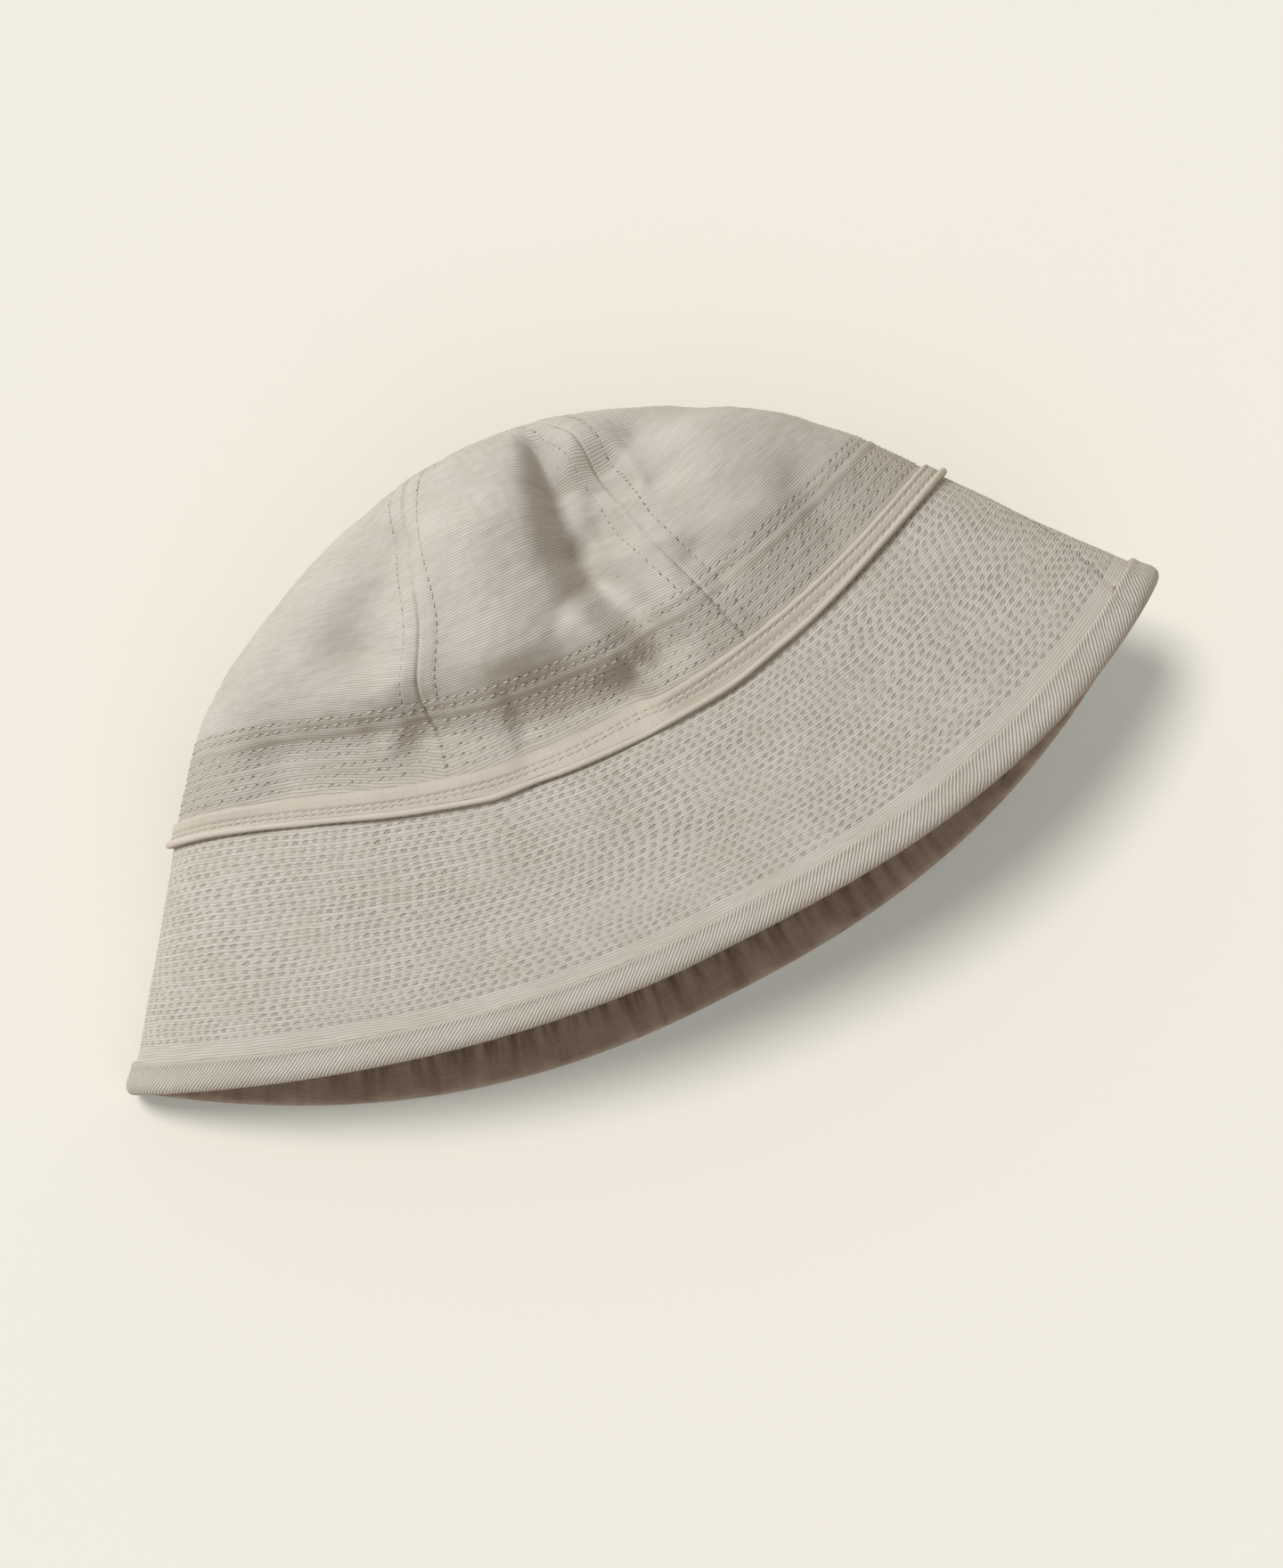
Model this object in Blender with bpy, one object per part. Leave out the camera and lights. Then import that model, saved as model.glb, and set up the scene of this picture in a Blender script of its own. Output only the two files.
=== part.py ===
"""A sailor cap of plain canvas, lying on its side as it was photographed.

The cap is one cloth surface with two coordinates: the height along the cloth from the brim's edge,
and the share of the way round. Each row of LEVELS is one level of that surface, BASINS, CREASES and
SWELLS push it in and out, and every piece is laid on it. Metres, +Z up, +X along the chord of the
brim's edge towards the back seam, +Y from the brim to the crown.
"""

from typing import NamedTuple

import bmesh
import bpy
import numpy as np

MM = 0.001

# Heights along the cloth, from the brim's edge, in mm
JOIN = 72.0  # where the brim meets the crown
STITCHED_TOP = 104.0  # the top row of stitches round the crown
CROWN_END = 232.0  # where the six panels meet
APEX_SETBACK = 0.7  # how far the panels end before that

# Cloth, in mm
GAP = 0.3  # between neighbouring pieces
BRIM_THICK = 1.8
CROWN_THICK = 1.5
TAPE_THICK = 1.0
TAPE_HEIGHT = 5.6
PIPING_RADIUS = 1.3
PIPING_LIFT = 0.1  # how much more than the gap lies between it and the cloth
BINDING_THICK = 1.3
BINDING_LEG = 9.2
BINDING_INNER_LEG = 16.8
BINDING_ROUNDING = 1.4  # of its folded edge
BINDING_BEVELS = (0.4, 2.2)  # how its outer leg thins to its end: down, and along
EDGE_SETBACK = 1.7  # the brim's cloth ends this far inside the binding's edge
FLOOR_SOFTNESS = 6.0  # how gently the cloth flattens where it lies on the table

# The folds fade where the cloth turns to the side: the upward part of its normal, and the range of the fade
STEEPEST_FOLDED = 0.05
FOLDED_FADE = 0.4

# Facets
PANEL_COLUMNS = (10, 24, 12, 8, 6, 8)
CREASED_PANEL = 1  # the panel whose columns stand closer at its crease
CREASED_COLUMNS = (0, 3, 15, 24)
CREASED_WAY = (0.0, 0.16, 0.52, 1.0)
STITCHED_ROWS = 5
LOW_DOME_ROWS = 8
HIGH_DOME_ROWS = 8
LOW_DOME_TOP = 150.0
HIGH_DOME_SPREAD = 1.35  # how much wider apart the rows stand towards the end
BRIM_ROWS = 5
MOST_SLANT = 2.0  # the most by which a panel's inner face drops further on a steep fold
EDGE_ROUNDING = 0.4  # how far a panel's faces end before its edge
PIPING_SIDES = 6
LOOP_POINTS = 1441  # points of the fine loop on which the way round a level is measured

# Steps over which the slant of the cloth is measured: up the cloth in mm, and in shares of the way round
CLOTH_STEP = 1.0
SHARE_STEP = 0.002

# The cap is moved by this, in mm, so that the origin is under the middle of its box
SHIFT = (3.826, 0.831, 0.0)


class Level(NamedTuple):
    """One level of the cloth, in mm: its two folded ends, and the middles of its upper and under sides.

    drop_* say how far along the side the cloth stays low before it rises to the end (power of the way,
    then power of the result), round_* how full the side is, and clear how far above the table it lies.
    """

    at: float
    left_x: float
    left_y: float
    left_z: float
    right_x: float
    right_y: float
    right_z: float
    upper_y: float
    upper_z: float
    under_y: float
    under_z: float
    left_drop: float
    left_bend: float
    right_drop: float
    right_bend: float
    under_left_drop: float
    under_right_drop: float
    upper_round: float
    under_round: float
    clear: float


# First line: height, left end, right end, upper and under middles. Second line: drops, bends, rounds, clear
LEVELS = (
    Level(0, -179.7, -39.3, 13, 172.0, -34.6, 75, -77.4, 88, -94.3, -11,
          1.8, 1.0, 2.95, 1.0, 2.2, 2.6, 0.95, 0.75, 1.65),  # rim
    Level(36, -156.0, -10.3, 22, 149.8, -7.5, 68, -44.9, 83, -60, -9,
          1.9, 1.2, 2.4, 1.0, 2.1, 2.5, 0.9, 0.7, 2.2),  # brim middle
    Level(72, -131.7, 23.4, 29, 127.5, 21.0, 61, -8.7, 80, -23.0, -1,
          2.0, 1.65, 2.3, 1.15, 2.1, 2.1, 0.85, 0.65, 3.1),  # join
    Level(104, -111.1, 48.8, 36, 109.8, 43.8, 57, 21.6, 86, 8.0, -9,
          2.0, 1.6, 2.0, 1.05, 2.0, 2.0, 0.8, 0.6, 0),  # stitching
    Level(132, -92.5, 63.0, 40, 92.5, 59.0, 54, 46.3, 88, 36.0, -10,
          2.0, 1.2, 2.0, 1.1, 2.0, 2.0, 0.75, 0.6, 0),  # low dome
    Level(160, -71.1, 74.0, 43, 74.0, 70.8, 51, 70.2, 85, 62.0, -4,
          2.0, 1.0, 2.0, 1.0, 2.0, 2.0, 0.75, 0.6, 0),  # high dome
    Level(184, -49.4, 82.6, 44, 55.2, 80.0, 50, 88.2, 74, 81.0, 10,
          2.0, 0.9, 2.0, 0.9, 2.0, 2.0, 0.8, 0.7, 0),  # horizon
    Level(208, -25.0, 88.7, 43, 29.3, 88.2, 46, 92.1, 55, 90.0, 26,
          2.0, 0.9, 2.0, 0.9, 2.0, 2.0, 0.9, 0.85, 0),  # roof
    Level(232, 1.6, 92.4, 40, 2.7, 92.4, 40, 92.7, 40.5, 91.8, 39.5,
          2.0, 0.9, 2.0, 0.9, 2.0, 2.0, 1, 1, 0),  # end
)


class Fold(NamedTuple):
    """A dent or a swell of the upper side, in mm: its middle line, seen from above, and its two widths.

    taper says how softly its ends run out.
    """

    from_x: float
    from_y: float
    to_x: float
    to_y: float
    depth: float
    left_width: float
    right_width: float
    taper: float


BASINS = (
    Fold(21.5, 76.0, 17.5, 50.0, 8.0, 32.0, 6.0, 8.0),  # sunk right half of the middle panel, upper
    Fold(17.5, 50.0, 21.0, 34.0, 8.0, 24.0, 6.5, 9.0),  # sunk right half of the middle panel, lower
    Fold(-90.0, 24.0, -48.0, 12.0, 4.0, 14.0, 7.0, 8.0),  # band beside the left seam
)

CREASES = (
    Fold(23.0, 85.0, 21.5, 72.0, 6.5, 7.0, 4.5, 4.0),  # crease of the middle panel, head
    Fold(22.5, 72.0, 18.5, 49.0, 10.0, 10.0, 7.5, 6.0),  # crease of the middle panel, middle
    Fold(18.5, 49.0, 18.0, 37.0, 10.0, 10.0, 7.5, 6.0),  # crease of the middle panel, foot
    Fold(18.0, 37.0, 27.0, 23.0, 8.0, 8.0, 8.0, 6.0),  # crease of the middle panel, bend
    Fold(34.0, 68.0, 29.0, 50.0, 10.5, 9.0, 12.0, 7.0),  # floor beside the crease
    Fold(41.0, 72.0, 40.0, 62.0, 9.0, 6.0, 12.0, 5.0),  # floor between the crease and the right seam
    Fold(27.0, 23.0, 30.0, 10.0, 8.0, 7.0, 9.0, 6.0),  # crease turning to the stitching
    Fold(-47.0, 17.5, -20.0, 6.0, 8.5, 13.0, 8.0, 9.0),  # hollow under the swell, left
    Fold(-20.0, 6.0, 14.0, 1.0, 11.0, 15.0, 8.0, 6.0),  # hollow under the swell, right
    Fold(-32.0, 76.0, -53.0, 50.0, 8.0, 10.0, 13.0, 8.0),  # hollow of the left panel
    Fold(-61.0, 25.0, -43.0, 25.0, 4.0, 7.0, 6.0, 6.0),  # step above the stitching, near the left seam
    Fold(-92.0, 34.0, -61.0, 25.0, 2.8, 7.0, 6.0, 8.0),  # step above the stitching, left
    Fold(50.0, 74.0, 53.0, 60.0, 5.0, 9.0, 9.0, 6.0),  # valley at the head of the right seam
    Fold(49.0, 30.0, 54.0, 23.0, 3.0, 7.0, 6.0, 5.0),  # pucker beside the right seam
    Fold(87.0, 36.0, 91.0, 20.0, 2.4, 7.0, 7.0, 6.0),  # hollow of the right panel
)

SWELLS = (
    Fold(-6.0, 66.0, -12.0, 31.0, 5.5, 14.0, 15.0, 8.0),  # swell of the middle panel
    Fold(12.0, 29.0, 15.0, 14.0, 5.5, 7.0, 8.0, 5.0),  # ridge at the foot of the crease
    Fold(72.0, 64.0, 69.0, 38.0, 3.0, 18.0, 14.0, 8.0),  # swell of the right panel
)


class Seam(NamedTuple):
    """A seam between two crown panels: its share of the way round at five heights."""

    at_join: float
    at_stitching: float
    at_low_dome: float
    at_high_dome: float
    at_end: float


SEAM_HEIGHTS = (JOIN, STITCHED_TOP, 135.0, 170.0, CROWN_END)
SEAMS = (
    Seam(-0.012, -0.012, -0.012, -0.012, -0.012),  # back
    Seam(0.141, 0.145, 0.15, 0.134, 0.115),  # right, on the upper side
    Seam(0.307, 0.31, 0.299, 0.31, 0.33),  # left, on the upper side
    Seam(0.49, 0.49, 0.49, 0.49, 0.495),  # front
    Seam(0.655, 0.655, 0.655, 0.66, 0.66),  # left, underneath
    Seam(0.822, 0.822, 0.822, 0.825, 0.825),  # right, underneath
)


def along(heights, rows, height):
    """Smooth interpolation of table rows, through each of them."""
    heights = np.asarray(heights, float)
    rows = np.asarray(rows, float)
    step = np.diff(heights)
    slope = np.diff(rows, axis=0) / step[:, None]
    tangent = np.empty_like(rows)
    tangent[0] = slope[0]
    tangent[-1] = slope[-1]
    weight = step[1:, None] + step[:-1, None]
    tangent[1:-1] = (slope[:-1] * step[1:, None] + slope[1:] * step[:-1, None]) / weight
    k = int(np.clip(np.searchsorted(heights, height, side="right") - 1, 0, len(heights) - 2))
    t = (height - heights[k]) / step[k]
    ends = (1 + 2 * t) * (1 - t) ** 2 * rows[k] + t * t * (3 - 2 * t) * rows[k + 1]
    pulls = t * (1 - t) ** 2 * tangent[k] + t * t * (t - 1) * tangent[k + 1]
    return ends + pulls * step[k]


def level_loop(height, crown):
    """Points round one level, from the right end over the upper side to the left end and back under."""
    rows = [row for row in LEVELS if (row.at >= JOIN if crown else row.at <= JOIN)]
    heights = [row.at for row in rows]
    row = Level(height, *along(heights, [row[1:] for row in rows], height))
    clear = np.interp(height, heights, [row.clear for row in rows])
    angle = np.linspace(0, 2 * np.pi, LOOP_POINTS)
    way = np.cos(angle)
    side = np.abs(np.sin(angle))
    upper = np.sin(angle) >= 0
    back = (1 - way) / 2
    left = way < 0
    upper_drop = np.where(left, row.left_drop, row.right_drop)
    under_drop = np.where(left, row.under_left_drop, row.under_right_drop)
    drop = np.where(upper, upper_drop, under_drop)
    bend = np.where(upper, np.where(left, row.left_bend, row.right_bend), 1.0)
    sag = np.maximum(1 - np.abs(way) ** drop, 1e-9) ** bend
    rise = side ** np.where(upper, row.upper_round, row.under_round)
    x = (row.left_x + row.right_x) / 2 + (row.right_x - row.left_x) / 2 * way
    y = row.right_y + (row.left_y - row.right_y) * back
    y = y + (np.where(upper, row.upper_y, row.under_y) - (row.left_y + row.right_y) / 2) * sag
    z = row.right_z + (row.left_z - row.right_z) * back
    z = z + (np.where(upper, row.upper_z, row.under_z) - (row.left_z + row.right_z) / 2) * rise
    over = z - clear
    soft = (over + FLOOR_SOFTNESS) ** 2 / (4 * FLOOR_SOFTNESS)
    z = clear + np.where(over > FLOOR_SOFTNESS, over, np.where(over < -FLOOR_SOFTNESS, 0, soft))
    return np.stack([x, y, z], axis=1)


def smooth_points(height, shares, crown):
    """Points at shares of the way round one level, before the folds."""
    loop = level_loop(height, crown)
    run = np.concatenate([[0], np.cumsum(np.linalg.norm(np.diff(loop, axis=0), axis=1))])
    want = np.asarray(shares) % 1 * run[-1]
    return np.stack([np.interp(want, run, loop[:, k]) for k in range(3)], axis=1)


def outward_normals(place, height, shares, crown):
    """Outward normals of the face on which place(height, shares, crown=crown) puts its points."""
    least, most = (JOIN, CROWN_END) if crown else (0.0, JOIN)
    lower = min(max(height - CLOTH_STEP / 2, least), most - CLOTH_STEP)
    up = place(lower + CLOTH_STEP, shares, crown=crown) - place(lower, shares, crown=crown)
    round_ = place(height, shares + SHARE_STEP, crown=crown) - place(height, shares - SHARE_STEP, crown=crown)
    normal = np.cross(up, round_)
    return normal / np.linalg.norm(normal, axis=1)[:, None]


def united(folds, points):
    """The depth of a set of folds at each point, in mm. Folds that meet keep near the deeper one."""
    total = np.zeros(len(points))
    for fold in folds:
        start = np.array([fold.from_x, fold.from_y])
        line = np.array([fold.to_x, fold.to_y]) - start
        length = np.linalg.norm(line)
        line = line / length
        away = points[:, :2] - start
        run = away @ line
        over = np.maximum(np.maximum(-run, run - length), 0)
        across = away @ np.array([line[1], -line[0]])
        width = np.where(across < 0, fold.left_width, fold.right_width)
        total += (fold.depth * np.exp(-((across / width) ** 2) - (over / fold.taper) ** 2)) ** 4
    return total**0.25


def fold_depth(points):
    """How far each point of the upper side is pushed in, in mm, less than 0 where the cloth swells."""
    return united(BASINS, points) + united(CREASES, points) - united(SWELLS, points)


def steepness(height, shares):
    """How much further apart a panel's faces stand on the slopes of a fold, so that it stays as thick."""
    smooth = outward_normals(smooth_points, height, shares, True)
    folded = outward_normals(lay, height, shares, True)
    leaning = (smooth * folded).sum(axis=1)
    return 1 / np.maximum(leaning, 1 / MOST_SLANT)


def lay(height, shares, lift=0.0, crown=True):
    """Points on the cloth's outer face, lift mm outside it. In mm, before the shift."""
    shares = np.asarray(shares, float)
    points = smooth_points(height, shares, crown)
    normals = outward_normals(smooth_points, height, shares, crown)
    faces_up = np.clip((normals[:, 2] - STEEPEST_FOLDED) / FOLDED_FADE, 0, 1)
    pushed = fold_depth(points) * faces_up * faces_up * (3 - 2 * faces_up)
    return points + normals * (lift - pushed)[:, None]


# ---- build

def panel_shares(number, height, slack):
    """Shares of the way round across one crown panel, leaving slack mm at each of its seams."""
    seams = along(SEAM_HEIGHTS, np.array(SEAMS).T, max(height, JOIN))
    start = float(seams[number])
    end = float(seams[(number + 1) % len(SEAMS)])
    if end < start:
        end += 1
    loop = level_loop(height, height >= JOIN)
    slack = slack / np.linalg.norm(np.diff(loop, axis=0), axis=1).sum()
    way = np.linspace(0, 1, PANEL_COLUMNS[number] + 1)
    if number == CREASED_PANEL:
        way = np.interp(np.arange(PANEL_COLUMNS[number] + 1), CREASED_COLUMNS, CREASED_WAY)
    return start + slack + (end - start - 2 * slack) * way


def ring_shares(height):
    """Shares round the whole cap and back to the start, in step with the panels' columns."""
    parts = [panel_shares(number, height, 0.0)[:-1] for number in range(len(SEAMS))]
    shares = np.concatenate(parts)
    return np.append(shares, shares[0] + 1)


def cloth_object(name, rows, material):
    """A solid from a grid of points: its first and last rows meet, and so do its columns or their ends."""
    points = (np.asarray(rows) + np.array(SHIFT)) * MM
    points = np.concatenate([points, points[:1]])
    down, across = points.shape[:2]
    mesh = bmesh.new()
    bmesh.ops.create_grid(mesh, x_segments=across - 1, y_segments=down - 1, size=1.0)
    for vert, point in zip(mesh.verts, points.reshape(-1, 3)):
        vert.co = point
    bmesh.ops.remove_doubles(mesh, verts=mesh.verts, dist=1e-6)
    bmesh.ops.recalc_face_normals(mesh, faces=mesh.faces)
    data = bpy.data.meshes.new(name)
    mesh.to_mesh(data)
    mesh.free()
    data.materials.append(material)
    obj = bpy.data.objects.new(name, data)
    CAP.objects.link(obj)
    return obj


def panel_row(number, height, lift):
    """One row of a panel's face. Both ends lie on the edge, in the middle of the cloth's thickness."""
    shares = panel_shares(number, height, GAP / 2 + EDGE_ROUNDING)
    edges = panel_shares(number, height, GAP / 2)[[0, -1]]
    middle = lay(height, edges, -CROWN_THICK / 2)
    face = lay(height, shares, lift * steepness(height, shares))
    return np.concatenate([middle[:1], face, middle[1:]])


def ring(section):
    """Rows round the whole cap, one for each point of a section: height along the cloth, and lift."""
    return [lay(height, ring_shares(height), lift, crown=height >= JOIN) for height, lift in section]


def canvas(name, color, roughness):
    material = bpy.data.materials.new(name)
    material.use_nodes = True
    shader = material.node_tree.nodes["Principled BSDF"]
    shader.inputs["Base Color"].default_value = (*color, 1.0)
    shader.inputs["Roughness"].default_value = roughness
    return material


for old in list(bpy.data.objects):
    bpy.data.objects.remove(old)
CAP = bpy.data.collections.new("sailor_cap")
bpy.context.scene.collection.children.link(CAP)

CANVAS = canvas("canvas", (0.56, 0.51, 0.43), 0.9)
QUILTED = canvas("quilted_canvas", (0.54, 0.49, 0.41), 0.9)
TAPE = canvas("tape", (0.58, 0.50, 0.41), 0.85)
TWILL = canvas("twill_binding", (0.57, 0.52, 0.44), 0.85)

# The six crown panels, each between two seams
PANEL_NAMES = (
    "panel_back_upper",
    "panel_middle_upper",
    "panel_front_upper",
    "panel_front_under",
    "panel_middle_under",
    "panel_back_under",
)
tape_low = JOIN + PIPING_RADIUS + GAP
tape_high = tape_low + TAPE_HEIGHT
stitched = np.linspace(tape_high, STITCHED_TOP, STITCHED_ROWS)
low_dome = np.linspace(STITCHED_TOP, LOW_DOME_TOP, LOW_DOME_ROWS + 1)[1:]
way = np.linspace(0, 1, HIGH_DOME_ROWS + 1)[1:] ** HIGH_DOME_SPREAD
high_dome = LOW_DOME_TOP + (CROWN_END - APEX_SETBACK - LOW_DOME_TOP) * way
panel_heights = [JOIN + GAP / 2, *stitched, *low_dome, *high_dome]
for number, name in enumerate(PANEL_NAMES):
    outer = [panel_row(number, height, 0.0) for height in panel_heights]
    inner = [panel_row(number, height, -CROWN_THICK) for height in reversed(panel_heights)]
    cloth_object(name, outer + inner, CANVAS)

# The brim, one stitched cone of doubled cloth
brim_heights = [EDGE_SETBACK, BINDING_LEG, *np.linspace(BINDING_INNER_LEG, JOIN - GAP / 2, BRIM_ROWS)]
outer = [(height, 0.0) for height in brim_heights]
inner = [(height, -BRIM_THICK) for height in reversed(brim_heights)]
cloth_object("brim", ring(outer + inner), QUILTED)

# The piping, a cord of cloth that covers the joint of brim and crown
turns = np.linspace(0, 2 * np.pi, PIPING_SIDES, endpoint=False)
middle = PIPING_RADIUS + GAP + PIPING_LIFT
cord = [(JOIN + PIPING_RADIUS * np.sin(turn), middle + PIPING_RADIUS * np.cos(turn)) for turn in turns]
cloth_object("band_piping", ring(cord), TAPE)

# The tape above the piping
outside = GAP + TAPE_THICK
tape_section = ((tape_low, GAP), (tape_high, GAP), (tape_high, outside), (tape_low, outside))
cloth_object("band_tape", ring(tape_section), TAPE)

# The binding, a strip folded round the brim's edge
outside = GAP + BINDING_THICK
inside = -BRIM_THICK - GAP
deepest = inside - BINDING_THICK
thinner, thinning = BINDING_BEVELS
binding_section = (
    (BINDING_LEG, GAP),
    (BINDING_LEG - thinner, outside - thinner),
    (BINDING_LEG - thinning, outside),
    (BINDING_ROUNDING, outside),
    (0.0, outside - BINDING_ROUNDING),
    (0.0, deepest + BINDING_ROUNDING),
    (BINDING_ROUNDING, deepest),
    (BINDING_LEG, deepest),
    (BINDING_INNER_LEG - thinner, deepest),
    (BINDING_INNER_LEG, inside),
    (BINDING_LEG, inside),
    (EDGE_SETBACK - GAP, inside),
    (EDGE_SETBACK - GAP, GAP),
)
cloth_object("brim_binding", ring(binding_section), TWILL)
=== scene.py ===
"""The fine model of a plain canvas sailor cap that lies on its side.

The cap's cloth is one surface with two coordinates: the height along the cloth from the brim's edge, and
the share of the way round it. Every piece is laid on that surface: the quilted brim, the six crown panels,
the tape with its piping, the twill binding and all the threads. Lengths are in millimetres until the points
of a mesh are written, in metres.
"""

from __future__ import annotations

import logging
import math
from collections.abc import Sequence
from dataclasses import dataclass, field
from enum import Enum
from typing import NamedTuple

import bpy
import numpy as np
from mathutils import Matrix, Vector

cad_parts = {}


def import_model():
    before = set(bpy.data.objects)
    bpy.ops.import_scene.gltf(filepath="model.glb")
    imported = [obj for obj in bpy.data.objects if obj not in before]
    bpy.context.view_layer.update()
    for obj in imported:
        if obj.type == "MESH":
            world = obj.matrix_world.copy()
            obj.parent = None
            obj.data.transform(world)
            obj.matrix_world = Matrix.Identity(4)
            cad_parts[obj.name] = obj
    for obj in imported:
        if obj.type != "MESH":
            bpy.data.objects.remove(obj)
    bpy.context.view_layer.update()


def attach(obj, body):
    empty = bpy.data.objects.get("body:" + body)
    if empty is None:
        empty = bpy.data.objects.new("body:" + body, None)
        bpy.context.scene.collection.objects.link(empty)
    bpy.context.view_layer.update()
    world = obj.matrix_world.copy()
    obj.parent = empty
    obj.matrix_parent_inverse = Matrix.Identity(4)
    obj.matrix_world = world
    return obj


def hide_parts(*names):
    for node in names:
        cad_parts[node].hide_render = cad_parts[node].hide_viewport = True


LOG = logging.getLogger("sailor_cap")
BODY = "root"
MM = 0.001

# Heights along the cloth, from the brim's edge, in mm
JOIN = 72.0
STITCHED_TOP = 104.0
CROWN_END = 232.0

# How softly the cloth meets the table, the least height of a point over it, and where the cap lies, in mm
FLOOR_SOFTNESS = 6.0
TABLE_CLEARANCE = 0.02
SHIFT = (3.826, 0.831, 0.0)

# Points round a level, and the upward shares of a normal between which the folds fade in
LOOP_POINTS = 1441
UNFOLDED, FOLDED = 0.05, 0.45

# Cloth, in mm
BRIM_THICK = 1.8
CROWN_THICK = 1.5

Array = np.ndarray


class Side(Enum):
    """Which of the two sewn parts a point lies on."""

    BRIM = "brim"
    CROWN = "crown"


class Slot(Enum):
    """The record's material slots."""

    CANVAS = "canvas"
    QUILTED = "quilted_canvas"
    TAPE = "tape"
    TWILL = "twill_binding"


class Level(NamedTuple):
    """One level of the cloth: its two folded ends, and the middles of its upper and under sides."""

    at: float
    left_x: float
    left_y: float
    left_z: float
    right_x: float
    right_y: float
    right_z: float
    upper_y: float
    upper_z: float
    under_y: float
    under_z: float
    left_drop: float
    left_bend: float
    right_drop: float
    right_bend: float
    under_left_drop: float
    under_right_drop: float
    upper_round: float
    under_round: float
    clear: float


LEVELS = tuple(
    Level(*row)
    for row in (
        # rim
        (0, -179.7, -39.3, 13, 172.0, -34.6, 75, -77.4, 88, -94.3, -11,
         1.8, 1.0, 2.95, 1.0, 2.2, 2.6, 0.95, 0.75, 1.65),
        # brim middle
        (36, -156.0, -10.3, 22, 149.8, -7.5, 68, -44.9, 83, -60, -9,
         1.9, 1.2, 2.4, 1.0, 2.1, 2.5, 0.9, 0.7, 2.2),
        # join
        (72, -131.7, 23.4, 29, 127.5, 21.0, 61, -8.7, 80, -23.0, -1,
         2.0, 1.65, 2.3, 1.15, 2.1, 2.1, 0.85, 0.65, 3.1),
        # stitching
        (104, -111.1, 48.8, 36, 109.8, 43.8, 57, 21.6, 86, 8.0, -9,
         2.0, 1.6, 2.0, 1.05, 2.0, 2.0, 0.8, 0.6, 0),
        # low dome
        (132, -92.5, 63.0, 40, 92.5, 59.0, 54, 46.3, 88, 36.0, -10,
         2.0, 1.2, 2.0, 1.1, 2.0, 2.0, 0.75, 0.6, 0),
        # high dome
        (160, -71.1, 74.0, 43, 74.0, 70.8, 51, 70.2, 85, 62.0, -4,
         2.0, 1.0, 2.0, 1.0, 2.0, 2.0, 0.75, 0.6, 0),
        # horizon
        (184, -49.4, 82.6, 44, 55.2, 80.0, 50, 88.2, 74, 81.0, 10,
         2.0, 0.9, 2.0, 0.9, 2.0, 2.0, 0.8, 0.7, 0),
        # roof
        (208, -25.0, 88.7, 43, 29.3, 88.2, 46, 92.1, 55, 90.0, 26,
         2.0, 0.9, 2.0, 0.9, 2.0, 2.0, 0.9, 0.85, 0),
        # end
        (232, 1.6, 92.4, 40, 2.7, 92.4, 40, 92.7, 40.5, 91.8, 39.5,
         2.0, 0.9, 2.0, 0.9, 2.0, 2.0, 1, 1, 0),
    )
)


class Fold(NamedTuple):
    """A dent or a swell of the upper side: its middle line seen from above, and its width on each side."""

    from_x: float
    from_y: float
    to_x: float
    to_y: float
    depth: float
    left_width: float
    right_width: float
    taper: float


BASINS = (
    Fold(21.5, 76.0, 17.5, 50.0, 8.0, 32.0, 6.0, 8.0),  # sunk right half of the middle panel, upper
    Fold(17.5, 50.0, 21.0, 34.0, 8.0, 24.0, 6.5, 9.0),  # sunk right half of the middle panel, lower
    Fold(-90.0, 24.0, -48.0, 12.0, 4.0, 14.0, 7.0, 8.0),  # band beside the left seam
)

CREASES = (
    Fold(23.0, 85.0, 21.5, 72.0, 6.5, 7.0, 4.5, 4.0),  # crease of the middle panel, head
    Fold(22.5, 72.0, 18.5, 49.0, 10.0, 10.0, 7.5, 6.0),  # crease of the middle panel, middle
    Fold(18.5, 49.0, 18.0, 37.0, 10.0, 10.0, 7.5, 6.0),  # crease of the middle panel, foot
    Fold(18.0, 37.0, 27.0, 23.0, 8.0, 8.0, 8.0, 6.0),  # crease of the middle panel, bend
    Fold(34.0, 68.0, 29.0, 50.0, 10.5, 9.0, 12.0, 7.0),  # floor beside the crease
    Fold(41.0, 72.0, 40.0, 62.0, 9.0, 6.0, 12.0, 5.0),  # floor between the crease and the right seam
    Fold(27.0, 23.0, 30.0, 10.0, 8.0, 7.0, 9.0, 6.0),  # crease turning to the stitching
    Fold(-47.0, 17.5, -20.0, 6.0, 8.5, 13.0, 8.0, 9.0),  # hollow under the swell, left
    Fold(-20.0, 6.0, 14.0, 1.0, 11.0, 15.0, 8.0, 6.0),  # hollow under the swell, right
    Fold(-32.0, 76.0, -53.0, 50.0, 8.0, 10.0, 13.0, 8.0),  # hollow of the left panel
    Fold(-61.0, 25.0, -43.0, 25.0, 4.0, 7.0, 6.0, 6.0),  # step above the stitching, near the left seam
    Fold(-92.0, 34.0, -61.0, 25.0, 2.8, 7.0, 6.0, 8.0),  # step above the stitching, left
    Fold(50.0, 74.0, 53.0, 60.0, 5.0, 9.0, 9.0, 6.0),  # valley at the head of the right seam
    Fold(49.0, 30.0, 54.0, 23.0, 3.0, 7.0, 6.0, 5.0),  # pucker beside the right seam
    Fold(87.0, 36.0, 91.0, 20.0, 2.4, 7.0, 7.0, 6.0),  # hollow of the right panel
)

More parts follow.
